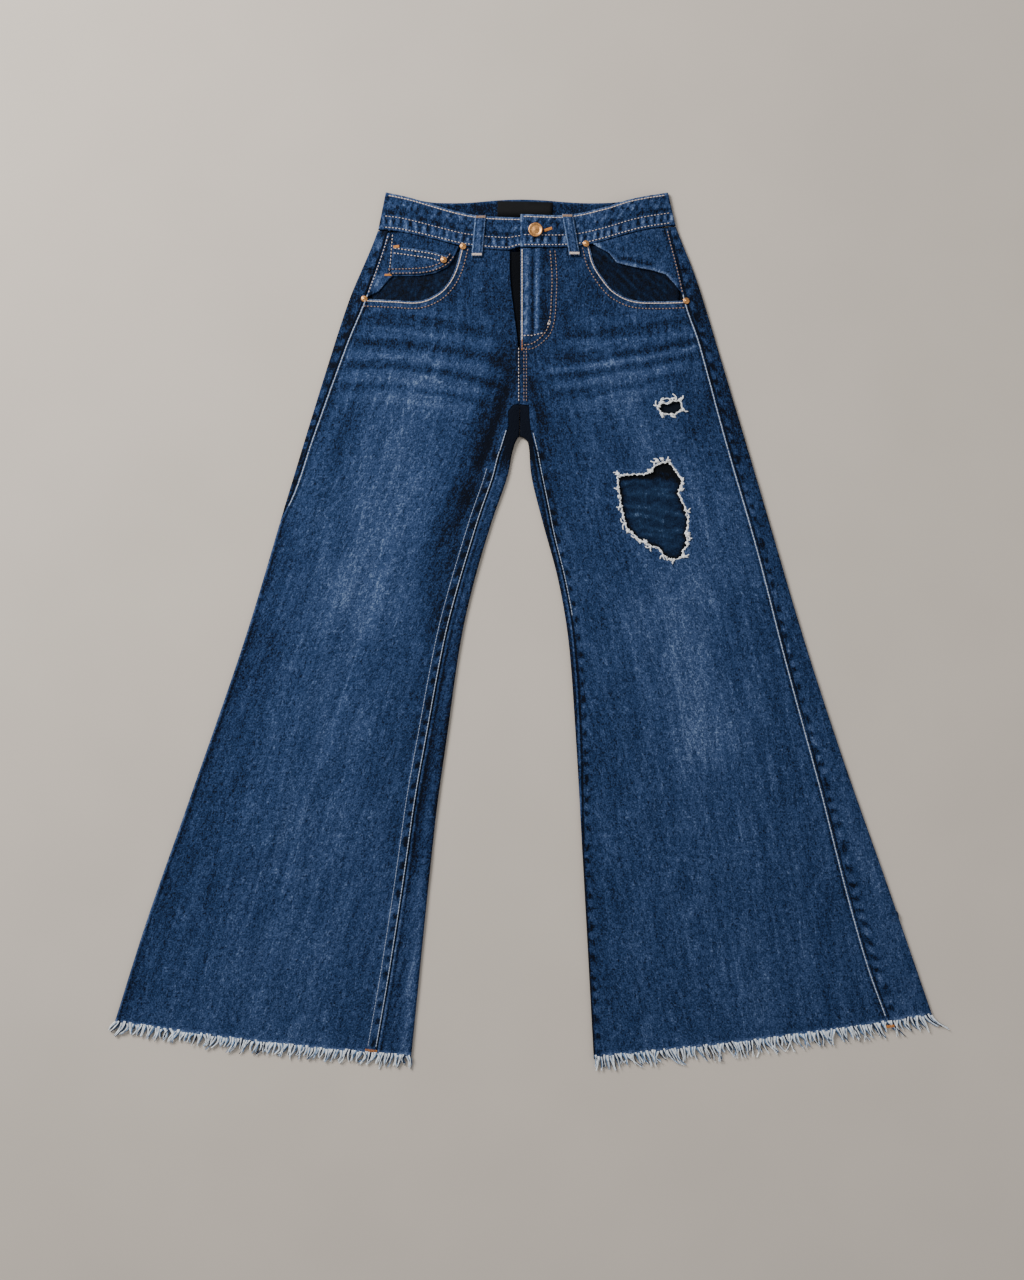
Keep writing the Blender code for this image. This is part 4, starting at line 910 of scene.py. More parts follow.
def bandPoint(topPoints, lowPoints, share, level):
    topX = between(topPoints[0][0], topPoints[-1][0], share)
    lowX = between(lowPoints[0][0], lowPoints[-1][0], share)
    top, low = (topX, edgeHeight(topPoints, topX)), (lowX, edgeHeight(lowPoints, lowX))
    return between(top[0], low[0], level), between(top[1], low[1], level)


def sideFold(side, level, high):
    edge = Vector(outerEdge[side][0]).lerp(Vector(outerEdge[side][1]), level)
    return makeFold(edge, (inward[side], -0.15), backBandHeight, high, cloth["band"])


def bandWear(x, y, level):
    # Worn top edge, a dark line along the middle and puckers between the two lower stitch lines
    chain = np.sin(2 * math.pi * x / waist["chainPitch"] + 1.6 * np.sin(x * 74.0) + 1.3 * level)
    mottle = ripple(x, y * 0.8, 0.0052) + 0.6 * ripple(x + 0.4, y, 0.0026)
    value = waist["plain"] + waist["leftLighter"] * smooth(0.03, 0.08, x)
    value += waist["mottle"] * mottle * (0.4 + 0.6 * bell(level, 0.25, 0.25))
    value += waist["topLine"] * bell(level, 0.02, 0.05) - waist["middleLine"] * bell(level, 0.50, 0.06)
    value += waist["chain"] * np.maximum(chain, -0.6) * bell(level, 0.77, 0.11)
    return value + waist["lowLine"] * bell(level, 0.93, 0.05) - waist["lowLine"] * bell(level, 1.0, 0.03)


def bandRelief(x, level):
    spots = np.sin(2 * math.pi * x / waist["reliefPitch"] + 1.6 * np.sin(x * 74.0) + 1.3 * level)
    return waist["relief"] * spots * bell(level, 0.72, 0.14) - waist["relief"] * bell(level, 0.56, 0.04)


def bandCorner(side, level, high, way):
    # Round the fold at the side, to the top layer (way 1) or to the floor layer (way -1)
    fold = sideFold(side, level, high)
    steps = [cloth["bandSeam"] + (fold["quarter"] - cloth["bandSeam"]) * i / 5 for i in range(6)]
    return [foldPoint(fold, way * length) for length in steps]


def frontBand(side, high):
    rows, levels = [], []
    for index in range(waist["down"] + 1):
        level = index / waist["down"]
        shares = [i / waist["acrossFront"] for i in range(2, waist["acrossFront"] + 1)]
        if side == "left":
            shares = [1.0 - share for share in shares]
        flat = [flatPoint(*bandPoint(bandTop[side], bandLow[side], share, level)) for share in shares]
        rows.append(bandCorner(side, level, high, 1) + flat)
        levels.append([level] * len(rows[-1]))
    points, level = settle(rows, high, backBandHeight), np.array(levels)
    x, y = points[..., 0], points[..., 1]
    points[..., 2] += points[..., 3] * bandRelief(x, level)
    value = bandWear(x, y, level)
    if side == "left":
        value += waist["lapEdge"] * bell(x, cloth["flyEdge"], 0.0016)
    gridCloth(f"bandCloth{side.title()}", points, value, cloth["band"], [f"waistband_front_{side}"])


def backBand():
    rows, levels = [], []
    for index in range(waist["down"] + 1):
        level = index / waist["down"]
        start = bandCorner("right", level, rightBandHeight, -1)
        end = bandCorner("left", level, leftBandHeight, -1)[::-1]
        middle = [flatPoint(*bandPoint(bandTop["back"], bandLow["back"], i / waist["acrossBack"], level), 0.0)
                  for i in range(3, waist["acrossBack"] - 2)]
        rows.append(start + middle + end)
        levels.append([level] * len(rows[-1]))
    points, level = settle(rows, frontHeight, backBandHeight), np.array(levels)
    x, y = points[..., 0], points[..., 1]
    value = waist["inside"] + 0.06 * ripple(x, y, 0.006) + waist["insideTop"] * bell(level, 0.0, 0.05)
    value += 0.10 * bell(level, 0.5, 0.1)
    gridCloth("bandClothBack", points, value, cloth["band"], ["waistband_back"])


frontBand("right", rightBandHeight)
frontBand("left", leftBandHeight)
backBand()
print("stage: waistband made")

# Pockets, fly and the cloth behind the large rip
facingRight = [(-0.0765, 0.4560), (-0.0830, 0.4410), (-0.0900, 0.4320), (-0.1050, 0.4250), (-0.1240, 0.4220),
               (-0.1550, 0.4220), (-0.1630, 0.4140), (-0.1710, 0.4040)]
facingLeft = [(0.0820, 0.4590), (0.0880, 0.4550), (0.1010, 0.4480), (0.1100, 0.4370), (0.1320, 0.4320),
              (0.1510, 0.4290), (0.1680, 0.4240), (0.1790, 0.4120)]
bagRight = [(-0.070, 0.4530), (-0.069, 0.4300), (-0.080, 0.4040), (-0.100, 0.3860), (-0.130, 0.3780),
            (-0.160, 0.3800), (-0.176, 0.3850), (-0.180, 0.4010), (-0.156, 0.4360), (-0.105, 0.4380)]
bagLeft = [(0.074, 0.4560), (0.075, 0.4300), (0.090, 0.4040), (0.108, 0.3870), (0.137, 0.3770),
           (0.165, 0.3780), (0.183, 0.3850), (0.184, 0.4030), (0.176, 0.4300), (0.130, 0.4450),
           (0.096, 0.4590)]
coinOutline = [(-0.1540, 0.4570), (-0.1300, 0.4535), (-0.1080, 0.4500), (-0.0890, 0.4445), (-0.0945, 0.4345),
               (-0.1060, 0.4275), (-0.1240, 0.4240), (-0.1565, 0.4240)]
flyFacingOutline = [(-0.0033, 0.3395), (0.0120, 0.3405), (0.0240, 0.3500), (0.0300, 0.3620), (0.0325, 0.3850),
                    (0.0330, 0.4530), (-0.0033, 0.4530)]
flyShieldOutline = [(-0.0210, 0.3430), (0.0260, 0.3430), (0.0280, 0.4495), (-0.0210, 0.4495)]
patchOutline = [(0.100, 0.205), (0.205, 0.214), (0.211, 0.080), (0.160, 0.072), (0.104, 0.090)]
labelOutline = [(-0.0310, 0.4915), (0.0340, 0.4905), (0.0345, 0.5095), (-0.0305, 0.5110)]


def facingRim(side, heights, places):
    # The side seam and the waistband seam that close a facing's outline
    half, way = cloth["halfSeam"], inward[side]
    seam = [(curveValue(outerEdge[side], y) + way * curveValue(outSeam[side], y) + way * 3 * half, y)
            for y in heights]
    return seam + [(x, edgeHeight(bandLow[side], x) - 2 * half) for x in places]


rimRight = facingRim("right", (0.3970, 0.4130, 0.4300, 0.4450, 0.4600, 0.4730), (-0.146, -0.122, -0.099))
rimLeft = facingRim("left", (0.3960, 0.4130, 0.4300, 0.4450, 0.4600, 0.4785), (0.155, 0.137, 0.115, 0.095))
# bag and shield are painted shade for the pocket bags and the fly shield, which lie in shadow
pocketLook = {"plain": 0.30, "edge": 0.40, "patch": 0.40, "bag": 0.11, "bagFold": 0.30, "rightDarker": 0.10,
              "leftLighter": 0.04, "crease": 0.28, "roll": 0.0011, "coin": 0.31, "coinEdge": 0.28,
              "shield": -0.35}


def facingWearRight(x, y):
    value = pocketLook["plain"] - pocketLook["rightDarker"] + 0.07 * ripple(x, y, 0.006)
    value += pocketLook["patch"] * bell(np.hypot(x + 0.174, (y - 0.415) * 0.8), 0.0, 0.009)
    return value + 0.5 * pocketLook["edge"] * bell(polylineAway(x, y, facingRight), 0.0, 0.0018)


def facingWearAndCreaseShadeLeft(x, y):
    value = pocketLook["plain"] + pocketLook["leftLighter"] + 0.08 * ripple(x, y, 0.012)
    value += pocketLook["edge"] * bell(polylineAway(x, y, facingLeft), 0.0, 0.0030)
    crease = polylineAway(x, y, [(0.0938, 0.4550), (0.1139, 0.4420), (0.150, 0.4360)])
    # Painted shade in the crease beside the rolled edge
    return value - pocketLook["crease"] * bell(crease, 0.0, 0.0025)


def rolledEdge(x, y):
    return pocketLook["roll"] * bell(polylineAway(x, y, facingLeft), 0.0, 0.0040)


def bagShadedTone(x, y):
    folds = np.sin((x * 0.75 + y) * 620.0 + 2.0 * ripple(x, y, 0.02))
    lighter = pocketLook["bagFold"] * np.maximum(folds, 0.0) ** 3
    # Painted shade: the bag's low tone stands for the shadow inside the pocket
    return pocketLook["bag"] + lighter + 0.06 * ripple(x, y, 0.011)


def coinWear(x, y):
    edge = polylineAway(x, y, coinOutline, True)
    return pocketLook["coin"] + 0.08 * ripple(x, y, 0.005) + pocketLook["coinEdge"] * bell(edge, 0.0, 0.0014)


def shieldShade(x, y):
    # Painted shade: the fly shield is darkened for the shadow in the fly's slit
    return np.full(np.shape(x), pocketLook["shield"])


def flyWear(x, y):
    return pocketLook["plain"] + 0.05 * ripple(x, y, 0.006)


# rim is painted shadow round the large rip's edge and along the patch's top; folds is a painted highlight on
# the fold ridges
patchLook = {"plain": 0.40, "folds": 0.26, "uneven": 0.13, "rim": 0.60, "lift": 1.5, "foldHeight": 0.0006}
# Each fold: two ends, half width, height in metres and bow
patchFolds = [(0.112, 0.176, 0.150, 0.180, 0.0040, 0.0006, 0.002),
              (0.125, 0.165, 0.186, 0.160, 0.0040, 0.0006, 0.003),
              (0.118, 0.152, 0.160, 0.150, 0.0035, 0.0005, -0.002),
              (0.150, 0.146, 0.192, 0.138, 0.0035, 0.0006, 0.002),
              (0.122, 0.139, 0.165, 0.133, 0.0040, 0.0006, 0.003),
              (0.140, 0.126, 0.192, 0.122, 0.0035, 0.0005, -0.002),
              (0.135, 0.116, 0.175, 0.113, 0.0035, 0.0006, 0.002),
              (0.160, 0.105, 0.190, 0.100, 0.0030, 0.0005, 0.002),
              (0.160, 0.190, 0.185, 0.182, 0.0035, 0.0005, 0.002),
              (0.150, 0.172, 0.184, 0.171, 0.0030, 0.0004, -0.002)]


def patchRelief(x, y):
    reach = smooth(0.002, 0.006, polylineAway(x, y, largeRip, True)) * polygonInside(x, y, largeRip)
    return reach * (patchLook["lift"] * strokeField(x, y, patchFolds) - cloth["gap"])


def patchToneAndPaintedLight(x, y):
    foldRidgeLight = strokeField(x, y, patchFolds) / patchLook["foldHeight"]
    # Painted shadow inside the rip's edge and towards the top of the patch
    rim = bell(polylineAway(x, y, largeRip, True), 0.0, 0.0045) + smooth(0.176, 0.190, y)
    value = patchLook["plain"] + patchLook["folds"] * foldRidgeLight + patchLook["uneven"] * ripple(x, y * 2.2, 0.009)
    return value - patchLook["rim"] * np.minimum(rim, 1.0)


laidCloth("pocketFacingRight", facingRight + rimRight, frontHeight, 0.0, cloth["denim"],
          ["pocket_facing_right"], facingWearRight)
laidCloth("pocketFacingLeft", facingLeft + rimLeft, frontHeight, 0.0, cloth["denim"],
          ["pocket_facing_left"], facingWearAndCreaseShadeLeft, extra=rolledEdge)
for side, outline in (("right", bagRight), ("left", bagLeft)):
    laidCloth(f"pocketBag{side.title()}", outline, frontHeight, cloth["under"], cloth["lining"],
              [f"pocket_bag_{side}"], bagShadedTone, "dark", 0.004)
laidCloth("coinPocket", coinOutline, frontHeight, cloth["over"], cloth["lining"], ["coin_pocket"], coinWear,
          spacing=0.0016)
laidCloth("flyFacing", flyFacingOutline, frontHeight, 0.0, cloth["denim"], ["fly_facing"], flyWear,
          spacing=0.004)
laidCloth("flyShield", flyShieldOutline, frontHeight, cloth["under"], cloth["lining"], ["fly_shield"],
          shieldShade, "dark", 0.004)
laidCloth("ripPatch", patchOutline, frontHeight, cloth["under"], cloth["lining"], ["rip_patch"],
          patchToneAndPaintedLight, "dark", 0.0024, patchRelief)
print("stage: pockets, fly and patch made")


# Label, belt loops and back pockets
labelLook = {"wall": 0.0006, "wearAndShade": 0.3}
loopLook = {"width": 0.0125, "arch": 0.0014, "across": 10, "along": 40, "middle": 0.50, "edge": 0.46,
            "dip": 0.0004, "speck": 0.10}
frontLoops = {"right": ((-0.0505, 0.4925), (-0.0550, 0.4440)), "left": ((0.0515, 0.4935), (0.0600, 0.4450))}


def plainWear(x, y):
    return np.full(np.shape(x), labelLook["wearAndShade"])


laidCloth("labelTape", labelOutline, backBandHeight, cloth["band"] / 2 + cloth["gap"] + labelLook["wall"] / 2,
          labelLook["wall"], ["label"], plainWear, "black", 0.01)


def frontLoop(side, high):
    (topX, topY), (lowX, lowY) = frontLoops[side]
    rows, values = [], []
    for index in range(loopLook["along"] + 1):
        share = index / loopLook["along"]
        x, y = between(topX, lowX, share), between(topY, lowY, share)
        row, value = [], []
        for step in range(loopLook["across"] + 1):
            offset = step / loopLook["across"] - 0.5
            place = x + offset * loopLook["width"]
            lift = cloth["band"] / 2 + cloth["gap"] * 1.5 + cloth["denim"] / 2
            lift += loopLook["arch"] * math.sin(math.pi * share)
            lift -= loopLook["dip"] * bell(abs(offset), 0.5, 0.12)
            row.append((place, y, float(high(place, y)) + lift, 1.0))
            speck = loopLook["speck"] * math.sin(share * 61 + 9 * offset) * math.sin(share * 37 + 2)
            ridge = loopLook["edge"] * float(bell(abs(offset), 0.5, 0.13) - bell(abs(offset), 0.33, 0.07))
            value.append(loopLook["middle"] + speck + ridge)
        rows.append(row)
        values.append(value)
    gridCloth(f"beltLoopFront{side.title()}", np.array(rows), np.array(values), cloth["denim"],
              [f"belt_loop_front_{side}"])


for side, high in (("right", rightBandHeight), ("left", leftBandHeight)):
    frontLoop(side, high)


def floorPiece(name, outline, node):
    # A piece under the back, flat on the floor
    bm = bmesh.new()
    face = bm.faces.new([bm.verts.new((x, y, cloth["denim"] / 2)) for x, y in outline])
    bmesh.ops.triangulate(bm, faces=[face])
    wearAndShadeLayer = bm.verts.layers.float.new("wearAndShade")
    for vert in bm.verts:
        vert[wearAndShadeLayer] = wearAndShade["plain"]
    finishCloth(name, bm, cloth["denim"], "denim", [node])


loopCorners = [(-1, -1), (1, -1), (1, 1), (-1, 1)]
pocketCorners = [(-1, 1), (-0.88, -0.68), (0, -1), (0.88, -0.68), (1, 1)]
for kind, node, places, corners in (("beltLoopBack", "belt_loop_back", backLoops, loopCorners),
                                    ("backPocket", "back_pocket", backPockets, pocketCorners)):
    for side, (middleX, middleY, halfX, halfY) in places.items():
        outline = [(middleX + a * halfX, middleY + b * halfY) for a, b in corners]
        floorPiece(f"{kind}{side.title()}", outline, f"{node}_{side}")
print("stage: loops, label and back pockets made")


# Threads: each one is a poly spline of a curve with a round bevel
def threadPiece(name, strands, look, sides=1, nodes=()):
    curve = bpy.data.curves.new(name, "CURVE")
    curve.dimensions = "3D"
    curve.bevel_depth = 1.0
    curve.bevel_resolution = sides
    curve.use_fill_caps = True
    for strand in strands:
        spline = curve.splines.new("POLY")
        spline.points.add(len(strand) - 1)
        for point, (x, y, z, radius) in zip(spline.points, strand):
            point.co = (x, y, z, 1.0)
            point.radius = radius
        spline.use_smooth = True
    drawn = bpy.data.objects.new(name, curve)
    bpy.context.scene.collection.objects.link(drawn)
    bpy.context.view_layer.update()
    mesh = bpy.data.meshes.new_from_object(drawn.evaluated_get(bpy.context.evaluated_depsgraph_get()))
    bpy.data.objects.remove(drawn)
    mesh.materials.clear()
    placePiece(name, mesh, [look], nodes)
    print(f"  {name}: {len(strands)} threads, {sum(len(p.vertices) - 2 for p in mesh.polygons)} triangles")


stitch = {"length": 0.0030, "pitch": 0.0037, "radius": 0.00042, "rise": 0.00020, "dashPitch": 0.0040,
          "dashLength": 0.0024, "gapLength": 0.0016, "closePitch": 0.0036, "closeLength": 0.0035,
          "tackRadius": 0.00048}
rng = random.Random(7)


def smoothPath(points, steps=8):
    count = (len(points) - 1) * steps
    return [(alongList([p[0] for p in points], i / count), alongList([p[1] for p in points], i / count))
            for i in range(count + 1)]


def sewn(path, surface, size=1.0, pitch=None, length=None, shift=0.5):
    pitch, length = pitch or stitch["pitch"], length or stitch["length"]
    spots = [Vector(point) for point in path]
    strands, start, travelled = [], pitch * shift, 0.0
    radius = stitch["radius"] * size
    for a, b in zip(spots, spots[1:]):
        reach = (b - a).length
        while start <= travelled + reach:
            middle = a.lerp(b, (start - travelled) / reach)
            way = (b - a).normalized() * length / 2
            strand = []
            for step, lift, fat in ((-1.0, -0.0002, 0.55), (-0.5, stitch["rise"] * 0.6, 1.0),
                                    (0.5, stitch["rise"] * 0.6, 1.0), (1.0, -0.0002, 0.55)):
                spot = middle + way * step
                strand.append((spot.x, spot.y, float(surface(spot.x, spot.y)) + lift, radius * fat))
            strands.append(strand)
            start += pitch
        travelled += reach
    return strands


def dashed(path, surface, size, thread):
    # Stitches, with navy strands between them as painted shade in the dimples of the pulled cloth
    thread.extend(sewn(path, surface, size, stitch["dashPitch"], stitch["dashLength"]))
    shadeGaps.extend(sewn(path, surface, size * 1.5, stitch["dashPitch"], stitch["gapLength"], 1.0))


def topOf(high, wall):
    return lambda x, y: high(x, y) + fineRelief(x, y) + wall / 2


onFront = topOf(frontHeight, cloth["denim"])
onLeftFront = topOf(leftFrontHeight, cloth["denim"])


def onCoin(x, y):
    return frontHeight(x, y) + fineRelief(x, y) + cloth["over"] + cloth["lining"] / 2


def onBand(side):
    high = {"right": rightBandHeight, "left": leftBandHeight}[side]
    return lambda x, y: high(x, y) + cloth["band"] / 2 + 0.0001


def seamPath(kind, side, offset, fromY, toY, steps=120):
    way = inward[side] if kind == "outer" else -inward[side]
    ys, xs = lines[kind, side]
    return [(float(np.interp(y, ys, xs)) + way * offset, y) for y in np.linspace(fromY, toY, steps)]


def bandPath(side, level, fromShare, toShare, steps=60):
    return [bandPoint(bandTop[side], bandLow[side], between(fromShare, toShare, i / steps), level)
            for i in range(steps + 1)]


def offsetPath(path, away):
    spots = [Vector(point) for point in path]
    moved = []
    for index, spot in enumerate(spots):
        way = spots[min(index + 1, len(spots) - 1)] - spots[max(index - 1, 0)]
        side = Vector((-way.y, way.x)).normalized()
        moved.append(tuple(spot + side * away))
    return moved


mouthPaths = {side: smoothPath([point[0] for point in scoop[side]]) for side in scoop}
cream, orange, brown, worn, shadeGaps = [], [], [], [], []

# Pocket mouths: a thick pale line at the edge and a dotted brown one inside it
for side, way in (("right", 1.0), ("left", -1.0)):
    mouthEdge = offsetPath(mouthPaths[side], 0.0022 * way)
    cream += sewn(mouthEdge, onFront, 1.4, stitch["closePitch"], stitch["closePitch"])
    dashed(offsetPath(mouthPaths[side], 0.0085 * way), onFront, 1.5, brown)
facingLine = smoothPath([(-0.0820, 0.4445), (-0.0900, 0.4355), (-0.1050, 0.4285), (-0.1240, 0.4255),
                         (-0.1590, 0.4250)])
coinTopLine = [(-0.1530, 0.4545), (-0.1300, 0.4510), (-0.1090, 0.4477), (-0.0960, 0.4440)]
for path, thread in ((coinTopLine, cream), (offsetPath(coinTopLine, -0.0056), cream), (facingLine, brown),
                     (offsetPath(facingLine, -0.0050), brown)):
    dashed(path, onCoin, 1.4, thread)
dashed([(-0.1545, 0.4715), (-0.1555, 0.4600), (-0.1570, 0.4400), (-0.1588, 0.4260)], onFront, 1.1, cream)

# Fly: edge line, the curved double line and the seam below it
flyStitch = cloth["flyEdge"] + 0.0018
cream += sewn([(flyStitch, y) for y in np.linspace(0.4520, 0.3470, 40)], onLeftFront, 1.6, 0.0034, 0.0034)
orange += sewn([(flyStitch, y) for y in np.linspace(0.3470, 0.3330, 8)], onLeftFront, 1.2, 0.0033)
flyCurve = smoothPath([(0.0313, 0.4510), (0.0336, 0.4207), (0.0328, 0.3935), (0.0313, 0.3728),
                       (0.0274, 0.3581), (0.0195, 0.3487), (0.0100, 0.3420), (-0.0015, 0.3400)])
dashed(flyCurve, onLeftFront, 1.7, brown)
dashed(offsetPath(flyCurve, 0.0056), onLeftFront, 1.2, brown)
dashed([(-0.0005, 0.3515), (0.0100, 0.3515), (0.0250, 0.3550)], onLeftFront, 1.4, cream)
for offset, surface, thread in ((-0.0012, onFront, cream), (0.0050, onLeftFront, brown),
                                (0.0080, onLeftFront, brown)):
    dashed([(cloth["centre"] + offset, y) for y in np.linspace(0.3380, 0.2760, 30)], surface, 1.1, thread)

# Long seams of the legs, and the waistband
dashed(seamPath("outer", "left", 0.0020, 0.4760, 0.4020, 40), onFront, 1.5, brown)
dashed(seamPath("outer", "right", 0.0020, 0.4700, 0.4020, 40), onFront, 1.2, cream)
for kind, side, offset, fromY, toY, size in (
        ("outer", "right", 0.0018, 0.4000, 0.1500, 1.7), ("outer", "left", 0.0018, 0.4000, -0.4520, 1.7),
        ("inner", "right", 0.0022, 0.2150, -0.4880, 1.3),
        ("inner", "right", cloth["secondRow"], 0.1950, -0.4880, 0.75),
        ("inner", "left", 0.0022, 0.2150, 0.0200, 1.1)):
    path = seamPath(kind, side, offset, fromY, toY, 220)
    worn += sewn(path, onFront, size, stitch["closePitch"], stitch["closeLength"])
for start, end, size in (((-0.0205, 0.2400), (-0.0277, 0.2165), 1.3),
                         ((0.0114, 0.2370), (0.0164, 0.2165), 1.1)):
    worn += sewn([start, end], onFront, size, stitch["closePitch"], stitch["closeLength"])
for side, inner, outer in (("right", 0.985, 0.03), ("left", 0.02, 0.97)):
    cream += sewn(bandPath(side, 0.07, inner, outer), onBand(side), 1.3)
    for level, size in ((0.62, 1.0), (0.92, 1.3)):
        dashed(bandPath(side, level, inner, outer), onBand(side), size, cream)


def bartack(middle, way, surface, wide, long, passes):
    # Close zigzag passes over a short bar
    middle, way = Vector(middle), Vector(way).normalized()
    side = Vector((-way.y, way.x))
    strands = []
    for index in range(passes):
        spot = middle + way * long * (index / (passes - 1) - 0.5)
        ends = [spot - side * wide / 2, spot, spot + side * wide / 2]
        strands.append([(p.x, p.y, float(surface(p.x, p.y)) + lift, stitch["tackRadius"])
                        for p, lift in zip(ends, (0.0, 0.0004, 0.0))])
    return strands


def onLoop(side):
    surface = onBand(side)
    return lambda x, y: surface(x, y) + cloth["gap"] * 1.5 + cloth["denim"]


for side in ("right", "left"):
    (topX, topY), (lowX, lowY) = frontLoops[side]
    brown += bartack((topX, topY - 0.0022), (1, 0), onLoop(side), 0.0024, 0.0105, 12)
    cream += bartack((lowX, lowY + 0.0024), (1, 0), onLoop(side), 0.0024, 0.0105, 12)
for thread, middle, way, surface, wide, long, passes in (
        (orange, (-0.1599, 0.4235), (1, 0), onFront, 0.0022, 0.0075, 9),
        (orange, (-0.1500, 0.4562), (1, 0.1), onCoin, 0.003, 0.006, 9),
        (orange, (0.4335, -0.4640), (1, 0.15), onFront, 0.0032, 0.0085, 9),
        (orange, (-0.1800, -0.4930), (1, -0.1), onFront, 0.0035, 0.013, 9),
        (cream, (0.0301, 0.3664), (0.4, 1), onLeftFront, 0.0026, 0.004, 6),
        (orange, (0.0289, 0.4752), (1, 0.35), onBand("left"), 0.0030, 0.0090, 12)):
    thread.extend(bartack(middle, way, surface, wide, long, passes))

# The gap strands are navy: painted shade between the dashes
sewing = {"cream": cream, "orange": orange, "brown": brown, "worn": worn, "gap": shadeGaps}
for name, strands in sewing.items():
    threadPiece(f"{name}Stitches", strands, "navy" if name == "gap" else name)
print("stage: stitches made")


# Frayed hems: threads drawn out of the cloth's edge, gathered in tufts
fringe = {"spacing": 0.00095, "tuft": 0.0034, "short": 0.0085, "longRight": 0.0150, "longLeft": 0.0180,
          "radius": 0.00070, "overlap": 0.0050, "paleShare": 0.66, "navyShare": 0.35, "lean": -0.36,
          "leanVaries": 0.22, "curl": 0.0016, "backShorter": 0.85, "backThicker": 1.5, "taper": 0.45,
          "strayThicker": 1.3}
strays = {"right": [(-0.2165, 0.010), (-0.1700, 0.012)],
          "left": [(0.188, 0.013), (0.277, 0.014), (0.120, 0.006)]}


def hemSpots(side):
    outer, inner, bow = legRows(side, 10)[-1]
    row = inner - outer
    inset = row.normalized() * cloth["edgeStep"]
    start, end = outer + inset, inner - inset
    away = Vector((row.y, -row.x)).normalized()
    if away.y > 0:
        away.negate()
    count = int(row.length / fringe["spacing"])
    for index in range(count + 1):
        share = index / count
        spot = start.lerp(end, share)
        spot.y -= bow * 4.0 * share * (1.0 - share)
        yield index * fringe["spacing"] / fringe["tuft"], share, spot, away, row.normalized()


def fringeThreads(side, level):
    most = {"right": fringe["longRight"], "left": fringe["longLeft"]}[side]
    thick = fringe["radius"] * (fringe["backThicker"] if level == "back" else 1.0)
    strands = {"pale": [], "blue": [], "navy": []}
    for index, (number, share, spot, away, along) in enumerate(hemSpots(side)):
        own = random.Random(int(number) * 7 + {"right": 1, "left": 2}[side])
        length = between(fringe["short"], most, own.random()) * rng.uniform(0.82, 1.06)
        length *= fringe["backShorter"] if level == "back" else 1.0
        phase = number % 1.0
        splay = -0.9 * (1.0 - float(smooth(0.0, 0.06, share))) + 0.5 * float(smooth(0.94, 1.0, share))
        lean = own.gauss(fringe["lean"], fringe["leanVaries"]) + splay + 0.35 * (0.5 - phase)
        lean = lean * length + rng.gauss(0.0, 0.0004)
        bend = own.gauss(0.0, fringe["curl"])
        drop = rng.uniform(0.0014, 0.0030) if level == "front" else 0.0010
        inside = fringe["overlap"] * own.uniform(0.4, 1.0) if level == "front" else 0.0010
        strand = []
        for step in range(6):
            part = step / 5
            reach = between(-inside, length, part)
            flat = spot + away * reach + along * (lean * part**1.5 + bend * math.sin(part * 3.1))
            if level == "back":
                z = 0.0008
            elif reach < 0.0006:
                inner = spot + away * reach
                z = float(onFront(inner.x, inner.y)) + 0.0003
            else:
                z = between(cloth["topLayer"] + 0.0006, drop, min(1.0, reach / length)**0.8)
            z += 0.0003 * (1.0 + math.sin(part * 6.0 + share * 900))
            strand.append((flat.x, flat.y, z, thick * (1.0 - fringe["taper"] * part)))
        # Navy threads are partly the dark dyed yarn and partly painted shade under the fringe
        key = "navy" if own.random() < fringe["navyShare"] else "blue"
        if (phase < fringe["paleShare"]) if level == "front" else index % 9 == 0:
            key = "pale"
        strands[key].append(strand)
    return strands


nick = {"place": (0.4385, -0.3345), "radius": 0.0038, "thick": 0.0010}


def nickThreads():
    # A small dark loop of thread at a nick in the left leg's outer edge
    x, y = nick["place"]
    z = float(onFront(x - 0.006, y)) - 0.0006
    loops = []
    for reach in (0.45, 0.8, 1.1):
        size = reach * nick["radius"]
        loops.append([(x + size * math.cos(angle), y + 1.5 * size * math.sin(angle), z, nick["thick"])
                      for angle in np.linspace(-2.6, 2.6, 14)])
    return loops


for side in ("right", "left"):
    for level in ("front", "back"):
        strands = fringeThreads(side, level)
        ending = f"{level.title()}{side.title()}"
        if level == "front":
            spots = [spot for number, share, spot, away, along in hemSpots(side)]
            strands["navy"] += nickThreads() if side == "left" else []
            for x, length in strays[side]:
                spot = min(spots, key=lambda place: abs(place.x - x))
                thick = fringe["radius"] * fringe["strayThicker"]
                strands["pale"].append([(spot.x + 0.002 * math.sin(i * 0.9), spot.y - length * i / 3,
                                         0.0026 - 0.0004 * i, thick) for i in range(-1, 5)])
        threadPiece(f"fringe{ending}", strands["pale"], "pale", 0, [f"fringe_{level}_{side}"])
        threadPiece(f"fringeBlue{ending}", strands["blue"], "blue", 0)
        threadPiece(f"fringeNavy{ending}", strands["navy"], "navy", 0)
print("stage: fringes made")

